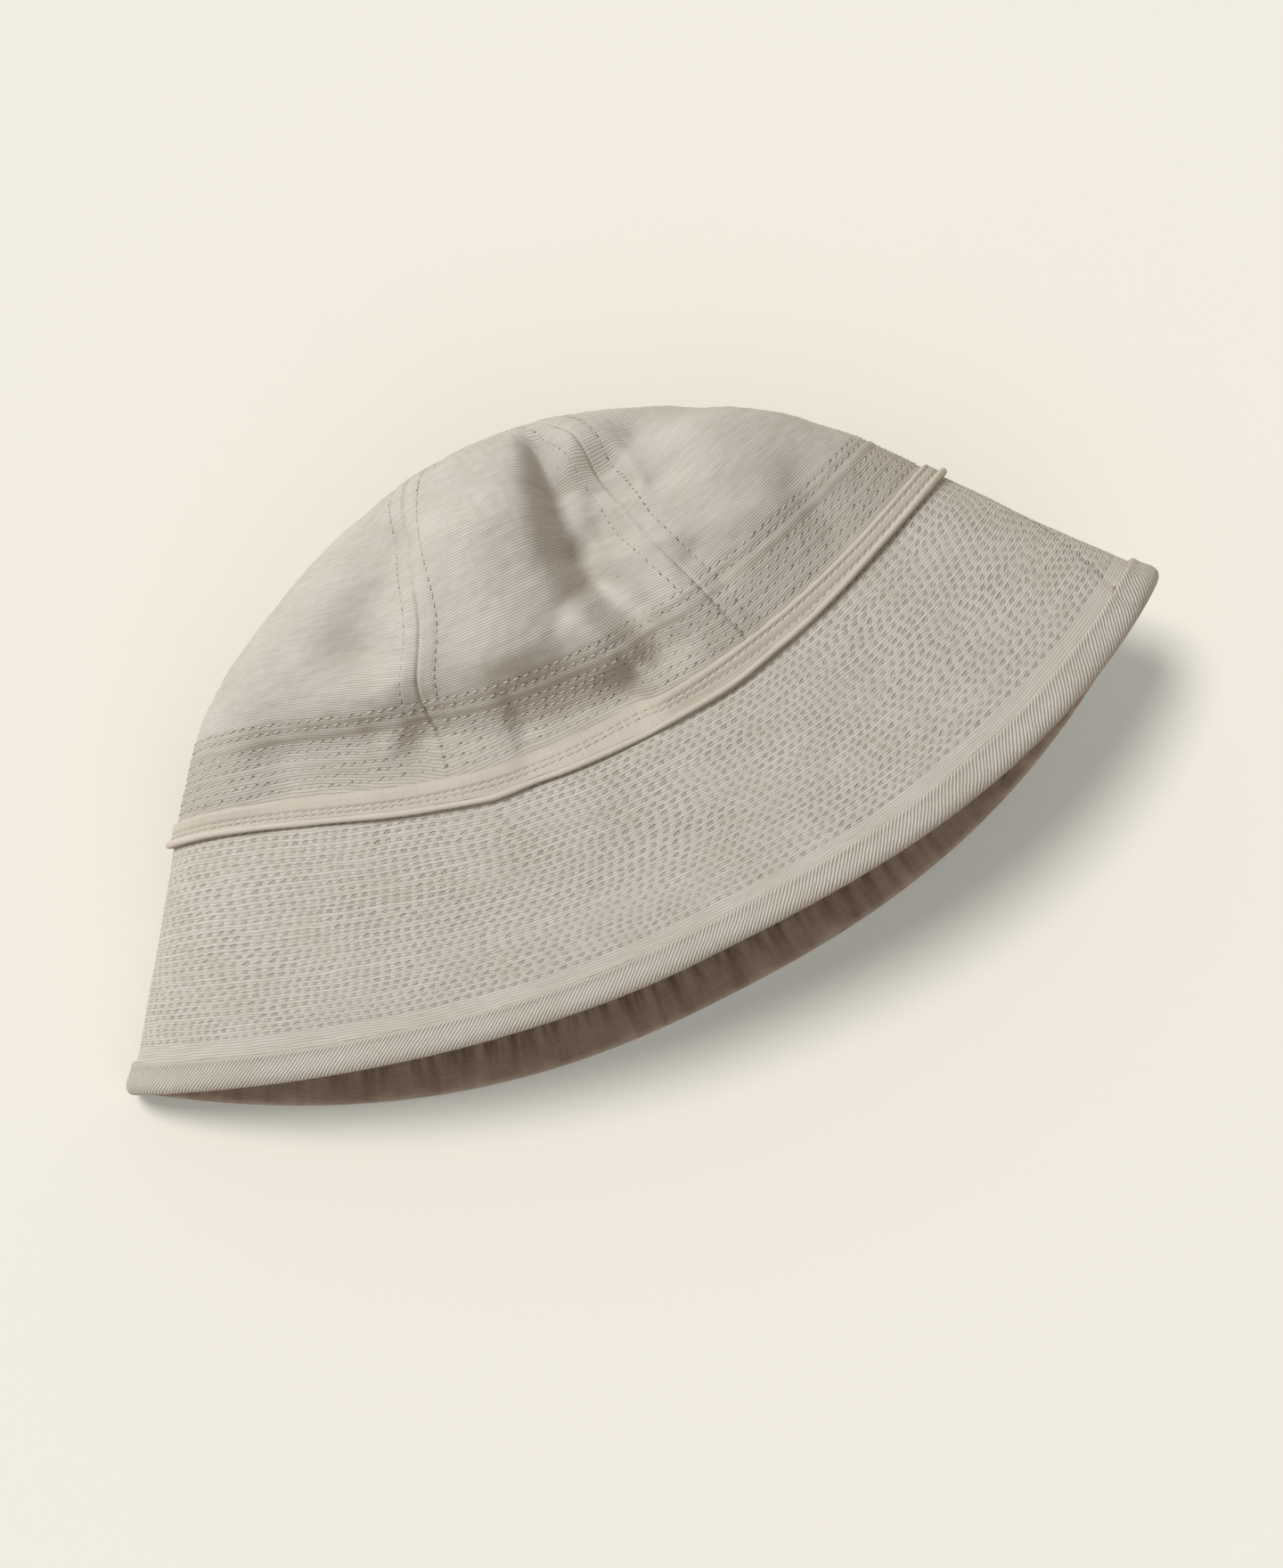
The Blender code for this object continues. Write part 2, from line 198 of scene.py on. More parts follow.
SWELLS = (
    Fold(-6.0, 66.0, -12.0, 31.0, 5.5, 14.0, 15.0, 8.0),  # swell of the middle panel
    Fold(12.0, 29.0, 15.0, 14.0, 5.5, 7.0, 8.0, 5.0),  # ridge at the foot of the crease
    Fold(72.0, 64.0, 69.0, 38.0, 3.0, 18.0, 14.0, 8.0),  # swell of the right panel
)


class Seam(NamedTuple):
    """A seam between two crown panels: its share of the way round at five heights."""

    at_join: float
    at_stitching: float
    at_low_dome: float
    at_high_dome: float
    at_end: float


SEAM_HEIGHTS = (JOIN, STITCHED_TOP, 135.0, 170.0, CROWN_END)
SEAMS = (
    Seam(-0.012, -0.012, -0.012, -0.012, -0.012),  # back
    Seam(0.141, 0.145, 0.15, 0.134, 0.115),  # right, on the upper side
    Seam(0.307, 0.31, 0.299, 0.31, 0.33),  # left, on the upper side
    Seam(0.49, 0.49, 0.49, 0.49, 0.495),  # front
    Seam(0.655, 0.655, 0.655, 0.66, 0.66),  # left, underneath
    Seam(0.822, 0.822, 0.822, 0.825, 0.825),  # right, underneath
)

# The cloth coordinates of a point in metres, and its stitch and row in the quilting
MAP = "cloth"
STITCH_MAP = "stitches"

# The stitched rows round the crown, the rows beside its seams, and its panels in the order of their seams
CROWN_ROWS = (103.0, 100.0, 94.8, 92.2, 89.9, 86.8, 84.0, 81.4)
CROWN_STITCH = 3.3
SEAM_ROW = 5.5
SEAM_STITCH = 3.1
PANELS = (
    "panel_back_upper",
    "panel_middle_upper",
    "panel_front_upper",
    "panel_front_under",
    "panel_middle_under",
    "panel_back_under",
)

# The stitched rows round the brim
BRIM_ROW_COUNT = 30
BRIM_TOP_ROW = 70.2
BRIM_ROW_PITCH = 1.87
BRIM_STITCH = 3.6


class TapeRows(NamedTuple):
    """Where the two stitched rows of the tape run, at one share of the way round."""

    share: float
    upper: float
    lower: float


TAPE_ROWS = (
    TapeRows(0.0, 76.9, 73.9),
    TapeRows(0.14, 76.9, 73.9),
    TapeRows(0.18, 76.2, 74.6),
    TapeRows(0.22, 76.5, 75.2),
    TapeRows(0.255, 76.2, 74.8),
    TapeRows(0.28, 75.6, 74.1),
    TapeRows(0.33, 75.1, 73.8),
    TapeRows(0.47, 75.3, 73.9),
    TapeRows(0.6, 76.4, 74.1),
    TapeRows(1.0, 76.9, 73.9),
)
TAPE_STITCH = 2.8

# The brim's back seam runs from the edge to the join at these shares. The binding's ends overlap beside it.
BACK_SEAM = (0.0275, -0.0102)
BINDING_JOINT = 0.0245


class Waver(NamedTuple):
    """How far the piping and the tape's foot run off the join, at one share of the way round."""

    share: float
    offset: float


BAND_WAVER = (
    Waver(0.0, 0.0),
    Waver(0.06, 0.0),
    Waver(0.13, -1.2),
    Waver(0.16, -2.0),
    Waver(0.20, -1.5),
    Waver(0.25, -0.6),
    Waver(0.265, -0.4),
    Waver(0.29, -1.6),
    Waver(0.32, -0.9),
    Waver(0.38, -0.3),
    Waver(0.45, 0.0),
    Waver(1.0, 0.0),
)


def smooth_step(low: float, high: float, value: Array) -> Array:
    """A soft step from 0 at low to 1 at high.

    Args:
        low: Where the step starts.
        high: Where it ends.
        value: The numbers to step.

    Returns:
        Numbers from 0 to 1.
    """
    way = np.clip((value - low) / (high - low), 0.0, 1.0)
    return way * way * (3 - 2 * way)


def along(heights: Sequence[float], rows: Array, height: float) -> Array:
    """Smooth interpolation of table rows, through each of them.

    Args:
        heights: The heights of the rows.
        rows: One row of numbers for each height.
        height: Where to interpolate.

    Returns:
        One row of numbers.
    """
    at = np.asarray(heights, float)
    rows = np.asarray(rows, float)
    step = np.diff(at)
    slope = np.diff(rows, axis=0) / step[:, None]
    tangent = np.empty_like(rows)
    tangent[0] = slope[0]
    tangent[-1] = slope[-1]
    weight = step[1:, None] + step[:-1, None]
    tangent[1:-1] = (slope[:-1] * step[1:, None] + slope[1:] * step[:-1, None]) / weight
    k = int(np.clip(np.searchsorted(at, height, side="right") - 1, 0, len(at) - 2))
    t = (height - at[k]) / step[k]
    ends = (1 + 2 * t) * (1 - t) ** 2 * rows[k] + t * t * (3 - 2 * t) * rows[k + 1]
    pulls = t * (1 - t) ** 2 * tangent[k] + t * t * (t - 1) * tangent[k + 1]
    return ends + pulls * step[k]


def eased(table: Sequence[NamedTuple], at: Array) -> Array:
    """Soft interpolation between the rows of a table of two columns.

    Args:
        table: The rows, from low to high.
        at: Where to read the first column.

    Returns:
        One number of the second column for each.
    """
    rows = np.array(table)
    k = np.clip(np.searchsorted(rows[:, 0], at, side="right") - 1, 0, len(rows) - 2)
    way = smooth_step(0.0, 1.0, (at - rows[k, 0]) / (rows[k + 1, 0] - rows[k, 0]))
    return rows[k, 1] * (1 - way) + rows[k + 1, 1] * way


def closed_shares(count: int) -> tuple[Array, Array]:
    """Even shares of the way round.

    Args:
        count: How many.

    Returns:
        The shares, and the same with a last one that closes the round.
    """
    share = np.arange(count) / count
    return share, np.concatenate([share, [1.0]])


def level_loop(height: float, side: Side) -> Array:
    """Points round one level, from the right end over the upper side to the left end and back under.

    Args:
        height: The height along the cloth.
        side: Brim or crown, which meet at an angle.

    Returns:
        Points in mm, the first repeated at the end.
    """
    rows = [row for row in LEVELS if (row.at >= JOIN if side is Side.CROWN else row.at <= JOIN)]
    heights = [row.at for row in rows]
    row = Level(height, *along(heights, np.array([row[1:] for row in rows]), height))
    clear = np.interp(height, heights, [row.clear for row in rows])
    angle = np.linspace(0, 2 * np.pi, LOOP_POINTS)
    way = np.cos(angle)
    upper = np.sin(angle) >= 0
    back = (1 - way) / 2
    left = way < 0
    upper_drop = np.where(left, row.left_drop, row.right_drop)
    under_drop = np.where(left, row.under_left_drop, row.under_right_drop)
    drop = np.where(upper, upper_drop, under_drop)
    bend = np.where(upper, np.where(left, row.left_bend, row.right_bend), 1.0)
    sag = np.maximum(1 - np.abs(way) ** drop, 1e-9) ** bend
    rise = np.abs(np.sin(angle)) ** np.where(upper, row.upper_round, row.under_round)
    x = (row.left_x + row.right_x) / 2 + (row.right_x - row.left_x) / 2 * way
    y = row.right_y + (row.left_y - row.right_y) * back
    y = y + (np.where(upper, row.upper_y, row.under_y) - (row.left_y + row.right_y) / 2) * sag
    z = row.right_z + (row.left_z - row.right_z) * back
    z = z + (np.where(upper, row.upper_z, row.under_z) - (row.left_z + row.right_z) / 2) * rise
    over = z - clear
    soft = (over + FLOOR_SOFTNESS) ** 2 / (4 * FLOOR_SOFTNESS)
    z = clear + np.where(over > FLOOR_SOFTNESS, over, np.where(over < -FLOOR_SOFTNESS, 0, soft))
    return np.stack([x, y, z], axis=1)


def united(folds: tuple[Fold, ...], points: Array) -> Array:
    """The depth of a set of folds, smoothly joined where they meet.

    Args:
        folds: The folds.
        points: Points before the folds, in mm.

    Returns:
        One depth for each point, in mm.
    """
    total = np.zeros(points.shape[:-1])
    for fold in folds:
        start = np.array([fold.from_x, fold.from_y])
        line = np.array([fold.to_x, fold.to_y]) - start
        length = np.linalg.norm(line)
        line = line / length
        away = points[..., :2] - start
        run = away @ line
        over = np.maximum(np.maximum(-run, run - length), 0)
        across = away @ np.array([line[1], -line[0]])
        width = np.where(across < 0, fold.left_width, fold.right_width)
        total += (fold.depth * np.exp(-((across / width) ** 2) - (over / fold.taper) ** 2)) ** 4
    return total**0.25


def fold_depth(points: Array) -> Array:
    """How far points of the upper side are pushed in, in mm, less than 0 where the cloth swells."""
    return united(BASINS, points) + united(CREASES, points) - united(SWELLS, points)


@dataclass(frozen=True)
class Laid:
    """Points on the cloth with their outward normals."""

    points: Array
    normals: Array

    def lifted(self, lift: Array | float) -> Array:
        """The points moved out of the cloth.

        Args:
            lift: How far, in mm, one number or one for each point.

        Returns:
            The moved points, never under the table.
        """
        lift = np.asarray(lift, float)
        moved = self.points + self.normals * lift[..., None]
        moved[..., 2] = np.maximum(moved[..., 2], TABLE_CLEARANCE)
        return moved


@dataclass
class ClothGrid:
    """A dense grid of one sewn part's outer face, read between its points."""

    low: float
    high: float
    side: Side
    step: float = 0.5
    columns: int = 1440
    points: Array = field(init=False)
    normals: Array = field(init=False)
    girth: Array = field(init=False)

    def __post_init__(self) -> None:
        count = int(round((self.high - self.low) / self.step)) + 1
        heights = np.linspace(self.low, self.high, count)
        want = np.linspace(0, 1, self.columns, endpoint=False)
        rows, girth = [], []
        for height in heights:
            loop = level_loop(height, self.side)
            run = np.concatenate([[0], np.cumsum(np.linalg.norm(np.diff(loop, axis=0), axis=1))])
            rows.append(np.stack([np.interp(want * run[-1], run, loop[:, k]) for k in range(3)], axis=1))
            girth.append(run[-1])
        points = np.array(rows)
        up = np.gradient(points, axis=0)
        round_ = np.roll(points, -3, axis=1) - np.roll(points, 3, axis=1)
        normals = np.cross(up, round_)
        normals /= np.linalg.norm(normals, axis=2)[..., None]
        faces_up = smooth_step(UNFOLDED, FOLDED, normals[..., 2])
        self.points = points - normals * (fold_depth(points) * faces_up)[..., None]
        self.normals = normals
        self.girth = np.array(girth)

    def at(self, height: Array, share: Array) -> Laid:
        """Points and normals between the grid's points.

        Args:
            height: Heights along the cloth.
            share: Shares of the way round.

        Returns:
            The laid points.
        """
        height, share = np.broadcast_arrays(np.asarray(height, float), np.asarray(share, float))
        row = np.clip((height - self.low) / self.step, 0, len(self.girth) - 1 - 1e-9)
        column = share % 1.0 * self.columns
        i = row.astype(int)
        j = column.astype(int) % self.columns
        k = (j + 1) % self.columns
        down = (row - i)[..., None]
        over = (column - np.floor(column))[..., None]

        def blend(values: Array) -> Array:
            low = values[i, j] * (1 - over) + values[i, k] * over
            high = values[i + 1, j] * (1 - over) + values[i + 1, k] * over
            return low * (1 - down) + high * down

        normals = blend(self.normals)
        normals /= np.linalg.norm(normals, axis=-1)[..., None]
        return Laid(blend(self.points), normals)


class CapSurface:
    """The outer face of the whole cap, before any relief of its own."""

    def __init__(self) -> None:
        self.grids = {
            Side.BRIM: ClothGrid(0.0, JOIN, Side.BRIM),
            Side.CROWN: ClothGrid(JOIN, CROWN_END, Side.CROWN),
        }
        self.seam_heights = np.linspace(JOIN, CROWN_END, 161)
        columns = np.array(SEAMS).T
        self.seam_shares = np.array([along(SEAM_HEIGHTS, columns, height) for height in self.seam_heights])

    def at(self, height: Array, share: Array, side: Side | None = None) -> Laid:
        """Points and normals of the cloth.

        Args:
            height: Heights along the cloth.
            share: Shares of the way round.
            side: Brim or crown, or None to choose by height.

        Returns:
            The laid points.
        """
        if side is not None:
            return self.grids[side].at(height, share)
        height, share = np.broadcast_arrays(np.asarray(height, float), np.asarray(share, float))
        brim = self.grids[Side.BRIM].at(np.minimum(height, JOIN), share)
        crown = self.grids[Side.CROWN].at(np.maximum(height, JOIN), share)
        on_crown = (height >= JOIN)[..., None]
        return Laid(
            np.where(on_crown, crown.points, brim.points),
            np.where(on_crown, crown.normals, brim.normals),
        )

    def girth(self, height: Array) -> Array:
        """The way round the cap, in mm.

        Args:
            height: Heights along the cloth.

        Returns:
            One length for each height.
        """
        brim, crown = self.grids[Side.BRIM], self.grids[Side.CROWN]
        at = np.concatenate([
            np.linspace(brim.low, brim.high, len(brim.girth)),
            np.linspace(crown.low, crown.high, len(crown.girth))[1:],
        ])
        return np.interp(height, at, np.concatenate([brim.girth, crown.girth[1:]]))

    def seam(self, number: int, height: Array) -> Array:
        """The shares at which a crown seam runs; each full turn over the seams adds one to them."""
        turn, number = divmod(number, len(SEAMS))
        return np.interp(height, self.seam_heights, self.seam_shares[:, number]) + turn


@dataclass(frozen=True)
class Undulation:
    """Soft unevenness of the cloth: a seeded sum of waves that closes on itself round the cap."""

    seed: int
    depth: float
    longest: float
    shortest: float
    waves: int = 18

    WAY_ROUND = 620.0
    EVENNESS = 0.6

    def at(self, height: Array, share: Array) -> Array:
        """The unevenness at points of the cloth.

        Args:
            height: Heights along the cloth.
            share: Shares of the way round.

        Returns:
            Lifts in mm, mostly within depth.
        """
        chance = np.random.default_rng(self.seed)
        total = np.zeros(np.broadcast_shapes(np.shape(height), np.shape(share)))
        for _ in range(self.waves):
            length = math.exp(chance.uniform(math.log(self.shortest), math.log(self.longest)))
            heading = chance.uniform(0, math.pi)
            turns = round(self.WAY_ROUND / length * math.cos(heading))
            rise = 2 * math.pi / length * math.sin(heading)
            start = chance.uniform(0, 2 * math.pi)
            strength = (length / self.longest) ** self.EVENNESS
            total = total + strength * np.sin(2 * math.pi * turns * share + rise * height + start)
        return total * self.depth / math.sqrt(self.waves)


class BrimRelief:
    """The low relief of the quilted brim over its smooth face, in mm."""

    ROW_OFFSET = 0.26
    DRIFT_WAVES = ((2, 0.5), (5, 0.42), (9, 0.26), (16, 0.12))
    PUFF = 0.16
    STITCH_BULGE = 0.20
    ROW_SINK = 0.04
    SEAM_DEPTH = 0.5
    SEAM_WIDTH = 0.8

    def __init__(self, surface: CapSurface) -> None:
        self.surface = surface
        chance = np.random.default_rng(11)
        self.offsets = chance.uniform(-self.ROW_OFFSET, self.ROW_OFFSET, BRIM_ROW_COUNT)
        self.offsets[[0, -1]] = 0.0
        levels = BRIM_TOP_ROW - BRIM_ROW_PITCH * np.arange(BRIM_ROW_COUNT)
        self.counts = np.rint(surface.girth(levels) / BRIM_STITCH).astype(int)
        self.starts = np.cumsum(chance.uniform(-0.1, 0.3, BRIM_ROW_COUNT))
        self.drifts = [
            (waves, size, np.cumsum(chance.uniform(-0.9, 0.9, BRIM_ROW_COUNT)))
            for waves, size in self.DRIFT_WAVES
        ]
        self.uneven = Undulation(5, 0.30, 60.0, 14.0)

    def row_height(self, row: Array, share: Array) -> Array:
        """The height of stitched rows, which waver a little.

        Args:
            row: Row numbers from the top, whole or between two rows.
            share: Shares of the way round.

        Returns:
            Heights along the cloth.
        """
        row = np.asarray(row, float)
        number = np.arange(BRIM_ROW_COUNT)
        offset = np.interp(row, number, self.offsets)
        turn = 2 * math.pi * np.asarray(share, float)
        waver = 0.20 * np.sin(3 * turn + 1.07 * row) + 0.14 * np.sin(8 * turn - 1.9 * row)
        dip = -0.9 * np.exp(-(((share - 0.15) / 0.03) ** 2)) * (row / BRIM_ROW_COUNT)
        return BRIM_TOP_ROW - BRIM_ROW_PITCH * row + offset + waver + dip

    def stitch(self, row: Array, share: Array) -> Array:
        """The stitch coordinate along a row: whole numbers are the needle holes."""
        nearest = np.clip(np.rint(row), 0, BRIM_ROW_COUNT - 1).astype(int)
        return share * self.counts[nearest] + self.drift(nearest, share)

    def drift(self, row: Array, share: Array) -> Array:
        """How far the stitches of a row run ahead of even ones.

        Args:
            row: Whole row numbers.
            share: Shares of the way round.

        Returns:
            Parts of a stitch.
        """
        ahead = self.starts[row]
        for waves, size, turn in self.drifts:
            ahead = ahead + size * np.sin(2 * math.pi * waves * share + turn[row])
        return ahead

    def middles(self, row: int) -> Array:
        """The shares of the way round at which the stitches of a row have their middles."""
        count = int(self.counts[row])
        share = (np.arange(count) + 0.5) / count
        for _ in range(6):
            share = (np.arange(count) + 0.5 - self.drift(row, share)) / count
        return share % 1.0

    def lift(self, row: Array, height: Array, share: Array) -> Array:
        """The relief at points of the brim.

        Args:
            row: Row numbers, fractions between rows.
            height: Heights along the cloth.
            share: Shares of the way round.

        Returns:
            Lifts in mm.
        """
        between = np.sin(np.pi * row) ** 2
        stitched = smooth_step(-0.6, -0.1, row) * smooth_step(BRIM_ROW_COUNT - 0.4, BRIM_ROW_COUNT - 0.9, row)
        bulge = np.cos(2 * np.pi * self.stitch(row, share))
        cells = self.PUFF * between + (self.STITCH_BULGE * bulge - self.ROW_SINK) * (1 - between)
        seam = self.SEAM_DEPTH * np.exp(-((self.from_back_seam(height, share) / self.SEAM_WIDTH) ** 2))
        return stitched * cells + self.base(height, share) - seam

    def from_back_seam(self, height: Array, share: Array) -> Array:
        """How far points are from the brim's back seam, in mm, less than 0 before it."""
        seam = np.interp(height, (0.0, JOIN), BACK_SEAM)
        return ((share - seam + 0.5) % 1.0 - 0.5) * self.surface.girth(height)

    def base(self, height: Array, share: Array) -> Array:
        """The cloth's unevenness without the stitches, in mm."""
        return self.uneven.at(height, share) * smooth_step(1.0, 16.0, height)


class CrownRelief:
    """The low relief of the crown over its smooth face, in mm."""

    NARROWING = 40.0
    NARROWEST = 0.12
    ALLOWANCE = 0.34
    ALLOWANCE_EDGE = (4.8, 6.8)
    SEWN_DEPTH = 0.22
    SEWN_WIDTH = 0.5
    GROOVE_DEPTH = 0.85
    GROOVE_WIDTH = 0.48
    PUFF = 0.10
    ROW_SINK = 0.12

    def __init__(self, surface: CapSurface) -> None:
        self.surface = surface
        self.wide = Undulation(21, 0.55, 70.0, 16.0)
        self.fine = Undulation(22, 0.10, 9.0, 4.0, 26)

    @staticmethod
    def nearness(height: Array) -> Array:
        """How much the sewing narrows towards the crown's point: 1 well below it, less near it."""
        return np.clip((CROWN_END - height) / CrownRelief.NARROWING, CrownRelief.NARROWEST, 1.0)

    def seam_distance(self, height: Array, share: Array) -> Array:
        """How far points are from the nearest seam between panels.

        Args:
            height: Heights along the cloth.
            share: Shares of the way round.

        Returns:
            Distances in mm.
        """
        girth = self.surface.girth(height)
        nearest = np.full(np.broadcast_shapes(np.shape(height), np.shape(share)), 1e3)
        for number in range(-1, len(SEAMS) + 2):
            nearest = np.minimum(nearest, np.abs(share - self.surface.seam(number, height)) * girth)
        return nearest

    def lift(self, height: Array, share: Array) -> Array:
        """The relief at points of the crown.

        Args:
            height: Heights along the cloth.
            share: Shares of the way round.

        Returns:
            Lifts in mm.
        """
        near = self.nearness(height)
        away = self.seam_distance(height, share)
        allowance = self.ALLOWANCE * (1 - smooth_step(*self.ALLOWANCE_EDGE, away / near)) * near
        sewn = -self.SEWN_DEPTH * np.exp(-(((away / near - SEAM_ROW) / self.SEWN_WIDTH) ** 2))
        groove = -self.GROOVE_DEPTH * np.exp(-((away / self.GROOVE_WIDTH) ** 2)) * smooth_step(0.0, 0.3, near)
        rows = np.array(CROWN_ROWS[::-1])
        between = np.interp(height, rows, np.arange(len(rows)))
        puff = np.interp(height, (rows[:-1] + rows[1:]) / 2, self.PUFF * np.diff(rows))
        inside = smooth_step(79.0, 81.0, height) * (1 - smooth_step(102.9, 104.0, height))
        quilt = inside * (puff * np.sin(np.pi * between) ** 2 - self.ROW_SINK)
        edge = smooth_step(72.0, 84.0, height)
        uneven = (self.wide.at(height, share) + self.fine.at(height, share)) * edge * near
        return allowance + sewn + groove + quilt + uneven


@dataclass
class MeshDraft:
    """A mesh that is put together from grids of points before it is made."""

    points: list[Array] = field(default_factory=list)
    maps: list[Array] = field(default_factory=list)
    faces: list[Array] = field(default_factory=list)
    corners: list[Array] = field(default_factory=list)
    kinds: list[Array] = field(default_factory=list)
    point_count: int = 0
    map_count: int = 0

    def add_points(self, points: Array) -> Array:
        """Adds points and gives their numbers, in the shape of the input."""
        shape = points.shape[:-1]
        self.points.append(points.reshape(-1, 3))
        numbers = np.arange(self.point_count, self.point_count + int(np.prod(shape))).reshape(shape)
        self.point_count += numbers.size
        return numbers

    def add_maps(self, maps: Array) -> Array:
        """Adds cloth coordinates and gives their numbers, in the shape of the input."""
        shape = maps.shape[:-1]
        self.maps.append(maps.reshape(-1, maps.shape[-1]))
        numbers = np.arange(self.map_count, self.map_count + int(np.prod(shape))).reshape(shape)
        self.map_count += numbers.size
        return numbers

    def add_faces(self, faces: Array, corners: Array, kind: Array | int) -> None:
        """Adds faces of one size: point numbers, map numbers and the number of their finish."""
        self.faces.append(faces)
        self.corners.append(corners)
        self.kinds.append(np.broadcast_to(kind, len(faces)))

    def grid(
        self,
        points: Array,
        maps: Array,
        kind: Array | int = 0,
        wrap_down: bool = False,
        wrap_over: bool = False,
        flip: bool = False,
    ) -> tuple[Array, Array]:
        """Adds a grid of quads.

        Args:
            points: Points in rows and columns, in mm.
            maps: Cloth coordinates, with one more row or column than points where the grid closes.
            kind: The number of the grid's finish, or one for each row of faces.
            wrap_down: Whether the last row meets the first.
            wrap_over: Whether the last column meets the first.
            flip: Whether the faces look the other way.

        Returns:
            The grid's point numbers and map numbers, closed as the maps are.
        """
        numbers = self.add_points(points)
        if wrap_down:
            numbers = np.concatenate([numbers, numbers[:1]], axis=0)
        if wrap_over:
            numbers = np.concatenate([numbers, numbers[:, :1]], axis=1)
        chart = self.add_maps(maps)
        quads = []
        for table in (numbers, chart):
            corner = [table[:-1, :-1], table[1:, :-1], table[1:, 1:], table[:-1, 1:]]
            if flip:
                corner = corner[::-1]
            quads.append(np.stack(corner, axis=-1).reshape(-1, 4))
        rows, columns = chart.shape[0] - 1, chart.shape[1] - 1
        self.add_faces(quads[0], quads[1], np.repeat(np.broadcast_to(kind, rows), columns))
        return numbers, chart

    def wall(self, fine: tuple[Array, Array], coarse: tuple[Array, Array], pick: object, flip: bool) -> None:
        """Joins an edge of a grid to one of a grid with half as many steps, by faces of five corners.

        Args:
            fine: Point and map numbers of the grid with more steps.
            coarse: The same of the other grid.
            pick: Which row or column of both is the edge.
            flip: Whether the faces look the other way.
        """
        both = []
        for one, other in zip(fine, coarse):
            one, other = one[pick], other[pick]
            corner = [one[:-2:2], one[1:-1:2], one[2::2], other[1:], other[:-1]]
            if flip:
                corner = corner[::-1]
            both.append(np.stack(corner, axis=-1))
        self.add_faces(both[0], both[1], 0)

    def make(self, name: str, finishes: Sequence[bpy.types.Material]) -> bpy.types.Object:
        """Makes the object.

        Args:
            name: The piece's name.
            finishes: Its materials, in the order of the kinds.

        Returns:
            The new object, which rides on the cap.
        """
        mesh = bpy.data.meshes.new(name)
        points = (np.concatenate(self.points) + np.array(SHIFT)) * MM
        sizes = np.concatenate([np.full(len(faces), faces.shape[1]) for faces in self.faces])
        corners = np.concatenate([faces.ravel() for faces in self.faces])
        mesh.vertices.add(len(points))
        mesh.vertices.foreach_set("co", points.astype(np.float32).ravel())
        mesh.loops.add(len(corners))
        mesh.loops.foreach_set("vertex_index", corners.astype(np.int32))
        mesh.polygons.add(len(sizes))
        mesh.polygons.foreach_set("loop_start", np.concatenate([[0], np.cumsum(sizes)[:-1]]).astype(np.int32))
        mesh.polygons.foreach_set("material_index", np.concatenate(self.kinds).astype(np.int32))
        mesh.polygons.foreach_set("use_smooth", np.ones(len(sizes), bool))
        if self.maps:
            chart = np.concatenate(self.maps)[np.concatenate([table.ravel() for table in self.corners])]
            layer = mesh.uv_layers.new(name=MAP)
            layer.data.foreach_set("uv", (chart[:, :2] * MM).astype(np.float32).ravel())
            if chart.shape[1] == 4:
                layer = mesh.uv_layers.new(name=STITCH_MAP)
                layer.data.foreach_set("uv", chart[:, 2:].astype(np.float32).ravel())
        mesh.update(calc_edges=True)
        mesh.validate()
        for finish in finishes:
            mesh.materials.append(finish)
        piece = bpy.data.objects.new(name, mesh)
        bpy.context.scene.collection.objects.link(piece)
        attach(piece, BODY)
        mesh.calc_loop_triangles()
        LOG.info("%s: %d triangles", name, len(mesh.loop_triangles))
        return piece


# ---- finishes


Color = tuple[float, float, float]
WHITE = (1.0, 1.0, 1.0, 1.0)


def tinted(color: Color | float, tint: Color) -> tuple[float, float, float, float]:
    """A colour or a grey, each part of it multiplied by a tint's."""
    parts = color if isinstance(color, tuple) else (color, color, color)
    return (parts[0] * tint[0], parts[1] * tint[1], parts[2] * tint[2], 1.0)


def less(amount: float, parts: Color) -> tuple[float, float, float, float]:
    """White less an amount, which takes more or less from each part."""
    return (1 - amount * parts[0], 1 - amount * parts[1], 1 - amount * parts[2], 1.0)


